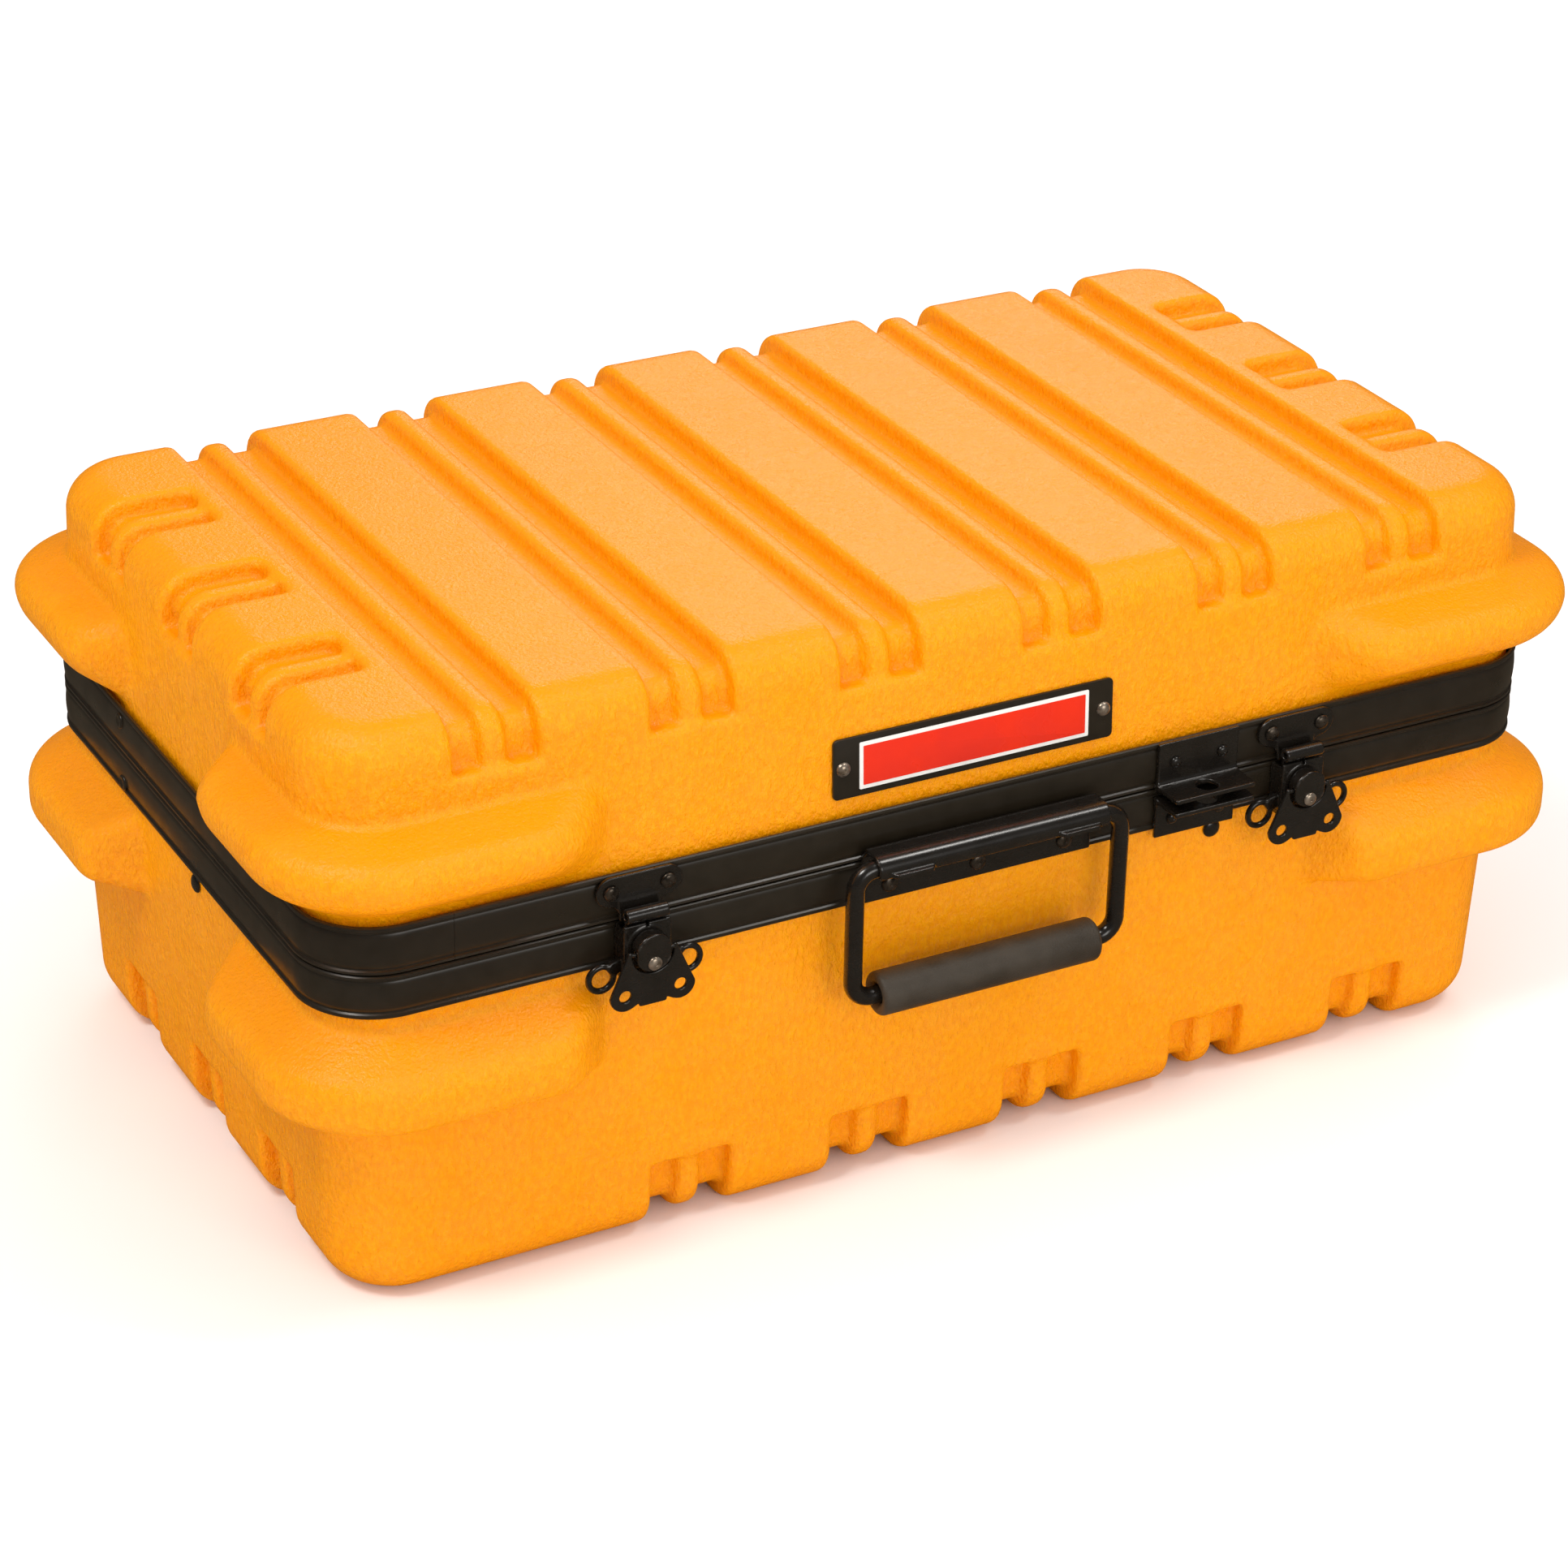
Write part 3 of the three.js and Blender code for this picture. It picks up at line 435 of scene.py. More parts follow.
def enamel(name, colour, deeper):
    """Printed enamel: a faint orange peel and slow colour drift."""
    material, tree, shader = new_material(name)
    drift = noise(tree, 45.0, 3.0)
    base = colour_mix(tree, spread(tree, drift, 0.0, 1.0), colour, deeper)
    tree.links.new(base, shader.inputs["Base Color"])
    tree.links.new(spread(tree, drift, 0.24, 0.34), shader.inputs["Roughness"])
    shader.inputs["Specular IOR Level"].default_value = 0.25
    tree.links.new(bump(tree, noise(tree, 700.0, 2.0), 0.15, 0.00005), shader.inputs["Normal"])
    return material


PLASTIC = shell_plastic()
ALUMINIUM = black_metal("black_aluminium", (0.015, 0.0105, 0.0055), 0.30, 90.0, 0.45)
STEEL = black_metal("black_steel", (0.0070, 0.0052, 0.0035), 0.26, 300.0, 0.5, coat=0.5)
RIVET = bare_steel("rivet_steel", (0.03, 0.024, 0.018), (0.13, 0.105, 0.08))
PIN = bare_steel("pin_steel", (0.22, 0.17, 0.12), (0.55, 0.46, 0.37))
VINYL = grip_vinyl()
LABEL_RED = enamel("label_red", (0.74, 0.024, 0.004), (0.66, 0.018, 0.004))
LABEL_WHITE = enamel("label_white", (0.80, 0.78, 0.74), (0.72, 0.70, 0.66))


# ------------------------------------------------ shells
GROOVE_PITCH = 78.3
GROOVES = [(index - 2.5) * GROOVE_PITCH for index in range(6)]
GROOVE_HALF = 17.0
BEAD_HALF = 5.2
NOTCH_PITCH = 71.5
NOTCHES = [-NOTCH_PITCH, 0.0, NOTCH_PITCH]
NOTCH_HALF = 15.5
NOTCH_BEAD_HALF = 4.6
NOTCH_INNER = 223.0
GROOVE_DEPTH = 7.5
BEAD_DROP = 2.2  # from the wall's face to the bead's crest
WALL_THICKNESS = 3.5
RIM = 5.4
SHELL_CORNER = BAND_CORNER - SHELL_INSET
BUMPER_CORNER = 48.0
BUMPER_PROUD = BUMPER_X - WALL_X
FRONT_FOOT, FRONT_FULL = 156.0, 176.0  # |x| where the front arms start and reach full depth
SIDE_FOOT, SIDE_FULL = 50.0, 64.0
EDGE_SOFT = 3.5
CREASE_SOFT = 2.5

LID = SimpleNamespace(
    height=LID_HEIGHT,
    lean=(0.8, 5.0),
    edge=15.0,
    groove_end=69.5,
    notch_end=71.0,
    blank_from=None,
    near_wall=22.0,  # where the bumper meets the wall on the parting side
    near_out=34.5,
    far_wall=57.5,
    far_out=50.5,
    shoulder=7.5,
    end_round=12.0,
)
BASE = SimpleNamespace(
    height=BASE_HEIGHT,
    lean=(5.5, 2.5),
    edge=17.0,
    groove_end=115.0,
    notch_end=112.0,
    blank_from=-105.0,  # the first groove isn't there in front of this y
    near_wall=26.0,
    near_out=38.0,
    far_wall=63.0,
    far_out=58.5,
    shoulder=6.0,
    end_round=7.0,
)


def groove_strips(x, y, z, form):
    """The upright slots that the grooves are cut in."""
    below = form.groove_end - z
    if form.blank_from is None:
        return smooth_max(nearest(x, GROOVES) - GROOVE_HALF, below, 3.0)
    whole = smooth_max(nearest(x, GROOVES[1:]) - GROOVE_HALF, below, 3.0)
    stopped = smooth_max(np.abs(x - GROOVES[0]) - GROOVE_HALF, below, 3.0)
    stopped = smooth_max(stopped, form.blank_from - y, 6.0)
    return np.minimum(whole, stopped)


def notch_strips(x, y, z, form):
    across = nearest(y, NOTCHES) - NOTCH_HALF
    slot = smooth_max(across, form.notch_end - z, 3.0)
    return smooth_max(slot, NOTCH_INNER - np.abs(x), 6.0)


def bumper(x, y, z, wall, form):
    """The proud ring round the corners, cut off by a slanted end on each arm."""
    outer = rounded_rectangle(x, y, BUMPER_X, BUMPER_Y, BUMPER_CORNER)
    proud = np.maximum(wall, -1.0)
    far = above_line(proud, z, (0.0, form.far_wall), (BUMPER_PROUD, form.far_out))
    near = -above_line(proud, z, (0.0, form.near_wall), (BUMPER_PROUD, form.near_out))
    across, along = np.abs(x), np.abs(y)
    front_end = above_line(across, along, (FRONT_FOOT, WALL_Y), (FRONT_FULL, BUMPER_Y))
    side_end = above_line(along, across, (SIDE_FOOT, WALL_X), (SIDE_FULL, BUMPER_X))
    sides = smooth_max(np.maximum(far, near), np.maximum(front_end, side_end), form.end_round)
    return smooth_max(outer, sides, form.shoulder)


def shell_outside(x, y, z, form):
    rise = np.maximum(z, 0.0) / form.height
    half_x = WALL_X - form.lean[0] * rise
    half_y = WALL_Y - form.lean[1] * rise
    wall = rounded_rectangle(x, y, half_x, half_y, SHELL_CORNER)
    body = rounded_max(wall, z - form.height, form.edge)
    grooves = groove_strips(x, y, z, form)
    notches = notch_strips(x, y, z, form)
    carved = smooth_max(smooth_max(body, -grooves, EDGE_SOFT), -notches, EDGE_SOFT)
    bead = smooth_max(body + BEAD_DROP, nearest(x, GROOVES) - BEAD_HALF, 4.5)
    bead = np.maximum(bead, grooves - 3.0)
    short_bead = smooth_max(body + BEAD_DROP, nearest(y, NOTCHES) - NOTCH_BEAD_HALF, 4.0)
    short_bead = np.maximum(short_bead, notches - 3.0)
    floor = smooth_min(body + GROOVE_DEPTH, np.minimum(bead, short_bead), 3.0)
    solid = smooth_min(carved, floor, 3.0)
    return smooth_min(solid, bumper(x, y, z, wall, form), CREASE_SOFT)


def shell_field(form, upwards):
    """A moulded shell of even thickness, open at the rim."""

    def field(x, y, z):
        height = z * upwards
        outside = shell_outside(x, y, height, form)
        skin = rounded_max(outside, -(outside + WALL_THICKNESS), 0.6)
        return np.maximum(skin, RIM - height)

    return field


def add_shells():
    cell = 1.6
    reach = (BUMPER_X, BUMPER_Y)
    lid = field_piece(
        "lid_moulding",
        shell_field(LID, 1.0),
        (-reach[0], -reach[1], RIM),
        (reach[0], reach[1], LID.height),
        cell,
        PLASTIC,
    )
    stand_for(lid, "lid", "shell_plastic", "lid_shell")
    base = field_piece(
        "base_moulding",
        shell_field(BASE, -1.0),
        (-reach[0], -reach[1], -BASE.height),
        (reach[0], reach[1], -RIM),
        cell,
        PLASTIC,
    )
    stand_for(base, "base", "shell_plastic", "base_shell")


# ------------------------------------------------ swept and turned pieces
def swept_ring(name, profile, half_x, half_y, corner, seam_x, side, material):
    """A closed profile of (depth behind the outer face, height), run round the case.

    The run starts and ends at a hairline seam at seam_x, in front (side 1) or behind (side -1)."""
    seam_gap = 0.15
    corner_steps = 28
    path = [((seam_x + seam_gap / 2, -half_y), (0.0, -1.0))]
    for quarter in range(4):
        middle_x = (half_x - corner) * (1 if quarter in (0, 1) else -1)
        middle_y = (half_y - corner) * (1 if quarter in (1, 2) else -1)
        for step in range(corner_steps + 1):
            angle = math.pi / 2 * (quarter - 1 + step / corner_steps)
            normal = (math.cos(angle), math.sin(angle))
            path.append(((middle_x + corner * normal[0], middle_y + corner * normal[1]), normal))
    path.append(((seam_x - seam_gap / 2, -half_y), (0.0, -1.0)))
    vertices = []
    for (x, y), (normal_x, normal_y) in path:
        for depth, z in profile:
            vertices.append((side * (x - normal_x * depth), side * (y - normal_y * depth), z))
    count = len(profile)
    faces = []
    for ring in range(len(path) - 1):
        for index in range(count):
            after = (index + 1) % count
            near, far = ring * count, (ring + 1) * count
            faces.append((near + index, near + after, far + after, far + index))
    faces.append(tuple(range(count))[::-1])
    last = (len(path) - 1) * count
    faces.append(tuple(range(last, last + count)))
    return creased_piece(name, vertices, faces, material, 35)


def turned(name, profile, place, axis, material, segments=36, crease=40, weld=False):
    """A turned piece: a profile of (radius, distance along the axis), from axis to axis."""
    along = Vector(axis).normalized()
    across = along.orthogonal().normalized()
    up = along.cross(across)
    vertices, rings = [], []
    for radius, distance in profile:
        centre = Vector(place) + along * distance
        if radius == 0.0:
            rings.append([len(vertices)])
            vertices.append(tuple(centre))
            continue
        ring = []
        for step in range(segments):
            angle = 2.0 * math.pi * step / segments
            ring.append(len(vertices))
            vertices.append(tuple(centre + radius * (math.cos(angle) * across + math.sin(angle) * up)))
        rings.append(ring)
    faces = []
    for first, second in zip(rings, rings[1:]):
        for step in range(segments):
            after = (step + 1) % segments
            corners = [first[step % len(first)], first[after % len(first)]]
            corners += [second[after % len(second)], second[step % len(second)]]
            face = list(dict.fromkeys(corners))
            if len(face) > 2:
                faces.append(tuple(face))
    return creased_piece(name, vertices, faces, material, crease, weld)


# ------------------------------------------------ rim valances
VALANCE_WEB = 4.8
VALANCE_INNER = (8.7, 10.2)
SEAM_X = -217.0


def valance_face(height):
    """The outer face from the parting edge up: a lip, a slight bulge and a rolled bead."""
    lip = [(0.7, GAP), (0.15, 0.75), (0.1, 1.7), (0.75, 2.2), (0.8, 2.7)]
    bulge = []
    for step in range(9):
        share = step / 8
        bulge.append((0.5 - 0.5 * math.sin(math.pi * share), 3.1 + (height - 6.3) * share))
    bead = [(0.8, height - 2.8), (0.75, height - 2.3), (0.1, height - 1.8), (0.0, height - 1.1)]
    return lip + bulge + bead + [(0.15, height - 0.4), (0.6, height)]


def valance_profile(height, inner):
    back = [(1.5, height), (1.6, height - 0.3), (1.6, VALANCE_WEB)]
    leg = [
        (VALANCE_INNER[0], VALANCE_WEB),
        (VALANCE_INNER[0], height - 4.0),
        (VALANCE_INNER[1], height - 4.0),
        (VALANCE_INNER[1], GAP),
    ]
    return valance_face(height) + back + leg + inner


def add_valances():
    groove = [(6.0, GAP), (6.0, 3.3), (2.6, 3.3), (2.6, GAP)]
    tongue = [(5.0, GAP), (5.0, -2.4), (3.6, -2.4), (3.6, GAP)]
    outline = (BAND_X, BAND_Y, BAND_CORNER)
    lid = swept_ring("lid_rim", valance_profile(LID_BAND, groove), *outline, SEAM_X, 1, ALUMINIUM)
    stand_for(lid, "lid", "black_aluminium", "lid_valance")
    downwards = [(depth, -z) for depth, z in valance_profile(BASE_BAND, tongue)]
    base = swept_ring("base_rim", downwards, *outline, SEAM_X, -1, ALUMINIUM)
    stand_for(base, "base", "black_aluminium", "base_valance")


# ------------------------------------------------ rivets
def rivet_profile(radius, height, dimple):
    """A domed head with a small dimple in its crown."""
    points = [(radius * 0.5, -0.4), (radius * 0.96, -0.1), (radius, 0.25)]
    for step in range(1, 8):
        angle = math.pi / 2 * step / 8
        points.append((radius * math.cos(angle), 0.25 + (height - 0.25) * math.sin(angle)))
    crown = radius * math.cos(math.pi / 2 * 7 / 8)
    points.append((crown * 0.6, height - dimple * 0.5))
    return [(0.0, -0.4)] + points + [(0.0, height - dimple)]


TOWARDS = {"front": (0.0, -1.0, 0.0), "rear": (0.0, 1.0, 0.0), "left": (-1.0, 0.0, 0.0)}


# Heads: radius, height, depth of the dimple and metal.
HINGE_HEAD = (3.3, 1.7, 0.5, RIVET)
KEEPER_HEAD = (3.1, 1.7, 0.5, RIVET)
HOUSING_HEAD = (2.6, 1.4, 0.5, RIVET)
BRACKET_HEAD = (3.4, 1.7, 0.5, RIVET)
NAMEPLATE_HEAD = (3.0, 2.3, 0.2, PIN)
HASP_HEAD = (2.4, 1.6, 0.3, STEEL)
SHELL_HEAD = (3.85, 1.9, 0.2, STEEL)


def add_rivet(node_name, body, towards, head):
    """Stands for a CAD rivet, with its head on the same face and centred on the same axis."""
    radius, height, dimple, metal = head
    direction = TOWARDS[towards]
    place = []
    for low, high, way in zip(*parting_box(node_name), direction):
        middle = (low + high) / 2
        place.append(middle + way * ((high - low) / 2 - height))
    piece = turned(node_name + "_head", rivet_profile(radius, height, dimple), place, direction, metal)
    return stand_for(piece, body, "rivet_steel", node_name)


def add_rivets():
    for side in ("left", "right"):
        for hand in ("a", "b"):
            add_rivet(f"keeper_rivet_{side}_{hand}", "lid", "front", KEEPER_HEAD)
            add_rivet(f"housing_rivet_{side}_{hand}", "base", "front", HOUSING_HEAD)
            add_rivet(f"hinge_lid_rivet_{side}_{hand}", "lid", "rear", HINGE_HEAD)
            add_rivet(f"hinge_base_rivet_{side}_{hand}", "base", "rear", HINGE_HEAD)
        add_rivet(f"nameplate_rivet_{side}", "lid", "front", NAMEPLATE_HEAD)
        add_rivet(f"hasp_lid_rivet_{side}", "lid", "front", HASP_HEAD)
        add_rivet(f"hasp_base_rivet_{side}", "base", "front", HASP_HEAD)
    for place in ("left", "middle", "right"):
        add_rivet(f"bracket_rivet_{place}", "base", "front", BRACKET_HEAD)
    add_rivet("shell_rivet_front", "base", "front", SHELL_HEAD)
    add_rivet("shell_rivet_left", "base", "left", SHELL_HEAD)


# ------------------------------------------------ latches
HUB_Z = -8.0
HOUSING_FRONT = -156.6
CLAW_BACK = -152.2
CLAW_ROLL = 2.9
CLAW_ROLL_Z = 5.3
WING_FRONT, WING_BACK = -161.4, -159.8
WING_PIVOT_Y = -160.5
NUB = 0.8
KEEPER_RIVET_X = 11.6
KEEPER_Z = 13.6
KEEPER_RADIUS = 6.0
KEEPER_NECK = 8.4
KEEPER_BEND = 9.0
HOUSING_HALF, HOUSING_WALL = 9.5, 8.2  # outside and inside of its walls
HOUSING_FLOOR = -21.0
HOUSING_SHEET = 1.5
EAR_X, EAR_Y, EAR_Z = 17.8, -154.0, -18.7
EAR_RING, EAR_WIRE = 5.05, 1.25
CLAW_HALF = 7.7
CLAW_SHEET = 1.6
CLAW_BOTTOM = -19.5
HUB_RADIUS, HUB_FLAT, HUB_STEM = 7.6, 6.9, 6.0
HUB_FRONT = -162.6
WING_TIP, WING_LOBE = (8.9, 0.0), (11.3, -16.4)
TIP_RADIUS, LOBE_RADIUS = 1.4, 6.1
WING_NOTCH = 8.7
FINGER_HOLE = 2.4
CRANK = 4.2


def keeper_field(x, y, z):
    """A stadium plate whose neck runs down and leans out behind the claw."""
    stadium = segment(x, z, (-KEEPER_RIVET_X, KEEPER_Z), (KEEPER_RIVET_X, KEEPER_Z)) - KEEPER_RADIUS
    neck = np.maximum(np.abs(x) - KEEPER_NECK, z - KEEPER_BEND)
    plate = rounded_max(smooth_min(stadium, neck, 5.0), np.abs(y - FACE + 0.8) - 0.8, 0.3)
    lip = segment(y, z, (FACE - 1.0, KEEPER_BEND), (FACE - 1.9, 2.0)) - 0.7
    lip = rounded_max(lip, np.abs(x) - KEEPER_NECK, 0.3)
    plate = np.maximum(plate, 5.0 - z)
    return smooth_min(plate, lip, 0.8)


def housing_field(x, y, z):
    across = np.abs(x)
    half, inner, floor = HOUSING_HALF, HOUSING_WALL, HOUSING_FLOOR
    face = HOUSING_FRONT + HOUSING_SHEET
    back = block(across, y, z, (-half, FACE - HOUSING_SHEET, -17.5), (half, FACE, -1.5))
    wall = block(across, y, z, (inner, HOUSING_FRONT, floor), (half, FACE - 0.2, 0.0))
    front = block(across, y, z, (-half, HOUSING_FRONT, floor), (half, face, 1.9), 0.5)
    collar = bar(x, z - HUB_Z, y, 8.8, HOUSING_FRONT - 0.3, face)
    ring = np.sqrt((across - EAR_X) ** 2 + (z - EAR_Z) ** 2)
    ear = np.sqrt((ring - EAR_RING) ** 2 + (y - EAR_Y) ** 2) - EAR_WIRE
    neck = segment(across, z, (9.0, -14.5), (12.5, -15.0)) - 2.6
    neck = rounded_max(neck, np.abs(y - EAR_Y) - 1.1, 0.5)
    neck = np.maximum(neck, inner - across)
    body = smooth_min(smooth_min(back, wall, 1.0), smooth_min(front, collar, 0.5), 0.8)
    body = smooth_min(body, smooth_min(ear, neck, 1.5), 0.8)
    slit = block(x, y, z, (-0.5, -160.0, 0.4), (0.5, -150.0, 4.0), 0.1)
    bore = bar(x, z - HUB_Z, y, 6.4, -165.0, -150.0)
    return np.maximum(np.maximum(body, -slit), -bore)


def claw_field(x, y, z):
    middle_y = CLAW_BACK - CLAW_ROLL
    low = (-CLAW_HALF, CLAW_BACK - CLAW_SHEET, CLAW_BOTTOM)
    plate = block(x, y, z, low, (CLAW_HALF, CLAW_BACK, CLAW_ROLL_Z))
    barrel = bar(y - middle_y, z - CLAW_ROLL_Z, x, CLAW_ROLL, -8.5, 8.5, 0.4)
    bore = bar(y - middle_y, z - CLAW_ROLL_Z, x, CLAW_ROLL - 1.5, -9.5, 9.5)
    low = (-CRANK - 1.7, -160.0, HUB_Z - CRANK - 2.4)
    high = (CRANK + 1.7, -150.0, HUB_Z - CRANK + 2.4)
    slot = block(x, y, z, low, high, 0.5)
    return np.maximum(np.maximum(np.minimum(plate, barrel), -bore), -slot)


def hub_field(x, y, z):
    """A thick disc with two flats and the wing's pivot holes, turned down to a stem behind."""
    disc = bar(x, z - HUB_Z, y, HUB_RADIUS, HUB_FRONT, HOUSING_FRONT - 0.7, 0.5)
    disc = rounded_max(disc, np.abs(x) - HUB_FLAT, 0.5)
    stem = bar(x, z - HUB_Z, y, HUB_STEM, HOUSING_FRONT - 1.5, HOUSING_FRONT + 1.5)
    bore = bar(y - WING_PIVOT_Y, z - HUB_Z, np.abs(x), NUB + GAP, 4.2, 8.0, 0.1)
    return np.maximum(smooth_min(disc, stem, 0.4), -bore)


def wing_field(x, y, z):
    """Two lobes with finger holes, joined under the hub by a web with a small tab."""
    across = np.abs(x)
    height = z - HUB_Z
    share = np.clip((height - WING_TIP[1]) / (WING_LOBE[1] - WING_TIP[1]), 0.0, 1.0)
    half_width = TIP_RADIUS + (LOBE_RADIUS - TIP_RADIUS) * share
    arm = segment(across, height, WING_TIP, WING_LOBE) - half_width
    web = rounded_rectangle(x, height + 13.5, 9.0, 6.5, 1.0)
    tab = rounded_rectangle(x, height + 17.0, 5.7, 5.0, 1.0)
    outline = np.minimum(smooth_min(arm, web, 2.5), tab)
    outline = smooth_max(outline, WING_NOTCH - np.sqrt(x * x + height * height), 0.5)
    hole = np.sqrt((across - WING_LOBE[0]) ** 2 + (height - WING_LOBE[1]) ** 2) - FINGER_HOLE
    outline = smooth_max(outline, -hole, 0.4)
    middle = (WING_FRONT + WING_BACK) / 2
    plate = rounded_max(outline, np.abs(y - middle) - (WING_BACK - WING_FRONT) / 2, 0.4)
    nub = bar(y - WING_PIVOT_Y, height, across, NUB, 4.5, 9.0, 0.2)
    return np.minimum(plate, nub)


def add_latch(side, x):
    cell = 0.4

    def local(field):
        return lambda px, py, pz: field(px - x, py, pz)

    def add(name, field, low, high, body):
        low = (low[0] + x, low[1], low[2])
        high = (high[0] + x, high[1], high[2])
        piece = field_piece(f"{name}_{side}_piece", local(field), low, high, cell, STEEL)
        stand_for(piece, body, "black_steel", f"{name}_{side}")

    add("latch_keeper", keeper_field, (-18.0, -152.0, 0.5), (18.0, FACE, 20.0), "lid")
    add("latch_housing", housing_field, (-25.0, -157.5, -26.0), (25.0, FACE, 2.5), "base")
    add("latch_claw", claw_field, (-9.0, -158.2, -20.0), (9.0, -152.0, 8.5), f"latch_claw_{side}")
    add("latch_hub", hub_field, (-8.0, -163.0, -16.0), (8.0, -155.0, 0.0), f"latch_hub_{side}")
    add("latch_wing", wing_field, (-18.5, -162.0, -32.0), (18.5, -159.0, -5.5), f"latch_wing_{side}")
    node_name = f"latch_crank_pin_{side}"
    place = (x, HUB_FRONT, HUB_Z - CRANK)
    profile = rivet_profile(2.8, 1.5, 0.7)[2:]
    shank = [(0.0, -9.8), (1.0, -9.8), (1.1, -9.5), (1.1, -0.1)]
    pin = turned(node_name + "_piece", shank + profile, place, TOWARDS["front"], PIN)
    stand_for(pin, f"latch_hub_{side}", "rivet_steel", node_name)


# ------------------------------------------------ handle
WIRE = 3.6
PIVOT_Y, PIVOT_Z = -158.5, 2.0
BRACKET_HALF = 50.5
BRACKET_SHEET = 1.5
BRACKET_BOTTOM = -17.0
BRACKET_JOGGLE = 4.0  # rise and run of the slope from the valance to the roll's top
ROLL_END = 1.2 * math.pi  # where the roll stops, turning down from its top
LEDGE_FROM, LEDGE_TO = 27.0, 46.0
LEDGE_OUT = 2.4
LEDGE_CHAMFER = 2.0
LEDGE_MIDDLE, LEDGE_HALF = 0.7, 0.9
GRIP_Z = (GRIP_LOW[2] + GRIP_HIGH[2]) / 2 - PARTING
GRIP_HALF = GRIP_HIGH[0]
GRIP_RADIUS = (GRIP_HIGH[2] - GRIP_LOW[2]) / 2
BAIL_HALF = box_mm("handle_bail")[1][0] - WIRE


def bracket_field(x, y, z):
    """Sheet lying on the base's valance, rolled forwards over the wire, with two pressed ledges."""
    middle_radius = WIRE + GAP + BRACKET_SHEET / 2
    half_sheet = BRACKET_SHEET / 2
    back_y = FACE - half_sheet
    top_z = PIVOT_Z + middle_radius
    bend = (back_y, top_z - BRACKET_JOGGLE)
    crest = (FACE - BRACKET_JOGGLE, top_z)
    flange = segment(y, z, (back_y, BRACKET_BOTTOM), bend)
    joggle = segment(y, z, bend, crest)
    top = segment(y, z, crest, (PIVOT_Y, top_z))
    roll = np.abs(np.sqrt((y - PIVOT_Y) ** 2 + (z - PIVOT_Z) ** 2) - middle_radius)
    roll = np.maximum(roll, half_sheet + y - PIVOT_Y)
    past_end = (z - PIVOT_Z) * math.cos(ROLL_END) - (y - PIVOT_Y) * math.sin(ROLL_END)
    roll = np.maximum(roll, half_sheet + past_end)
    sheet = smooth_min(smooth_min(flange, joggle, 1.5), np.minimum(top, roll), 0.6) - half_sheet
    sheet = rounded_max(sheet, np.abs(x) - BRACKET_HALF, 0.4)
    across = np.abs(np.abs(x) - (LEDGE_FROM + LEDGE_TO) / 2)
    half = (LEDGE_TO - LEDGE_FROM) / 2
    root = PIVOT_Y - middle_radius
    front = root - half_sheet - LEDGE_OUT
    ledge = np.maximum(np.abs(z - LEDGE_MIDDLE) - LEDGE_HALF, np.maximum(front - y, y - root))
    slant = above_line(across, y, (half, root - half_sheet), (half - LEDGE_CHAMFER, front))
    ledge = rounded_max(ledge, slant, 0.3)
    return smooth_min(sheet, ledge, 0.7)


def bail_points():
    """The wire's middle line: out of the bracket, down one leg, along the grip and back."""
    bend, steps = 8.0, 10
    half = BAIL_HALF
    points = [(0.5, PIVOT_Z)]
    corners = [
        (half - bend, PIVOT_Z - bend, 0.5 * math.pi),
        (half - bend, GRIP_Z + bend, 0.0),
        (-half + bend, GRIP_Z + bend, -0.5 * math.pi),
        (-half + bend, PIVOT_Z - bend, -math.pi),
    ]
    for x, z, start in corners:
        for step in range(steps + 1):
            angle = start - 0.5 * math.pi * step / steps
            points.append((x + bend * math.cos(angle), z + bend * math.sin(angle)))
    points.append((-0.5, PIVOT_Z))
    return [Vector((x, PIVOT_Y, z)) for x, z in points]


def swept_wire(name, points, radius, material, segments=28):
    """A round wire along a path in the plane y = constant, with flat ends."""
    vertices, faces = [], []
    sideways = Vector((0.0, 1.0, 0.0))
    for index, point in enumerate(points):
        before = points[max(index - 1, 0)]
        after = points[min(index + 1, len(points) - 1)]
        along = (point - before).normalized() + (after - point).normalized()
        across = along.normalized().cross(sideways)
        for step in range(segments):
            angle = 2.0 * math.pi * step / segments
            offset = math.cos(angle) * across + math.sin(angle) * sideways
            vertices.append(tuple(point + radius * offset))
    for ring in range(len(points) - 1):
        for step in range(segments):
            after = (step + 1) % segments
            near, far = ring * segments, (ring + 1) * segments
            faces.append((near + step, near + after, far + after, far + step))
    last = (len(points) - 1) * segments
    faces.append(tuple(range(segments)))
    faces.append(tuple(range(last, last + segments)))
    return creased_piece(name, vertices, faces, material, 50)


def grip_profile():
    """A sleeve with rolled ends that dip in towards the wire."""
    bore = WIRE + GAP
    mouth = 1.6
    radius = 2.2
    points = [(bore, -GRIP_HALF + mouth), (bore + 1.2, -GRIP_HALF + 0.5), (bore + 2.2, -GRIP_HALF)]
    for step in range(9):
        angle = math.pi / 2 * step / 8
        across = GRIP_RADIUS - radius + radius * math.sin(angle)
        points.append((across, -GRIP_HALF + radius - radius * math.cos(angle)))
    mirrored = [(across, -along) for across, along in reversed(points)]
    return points + mirrored


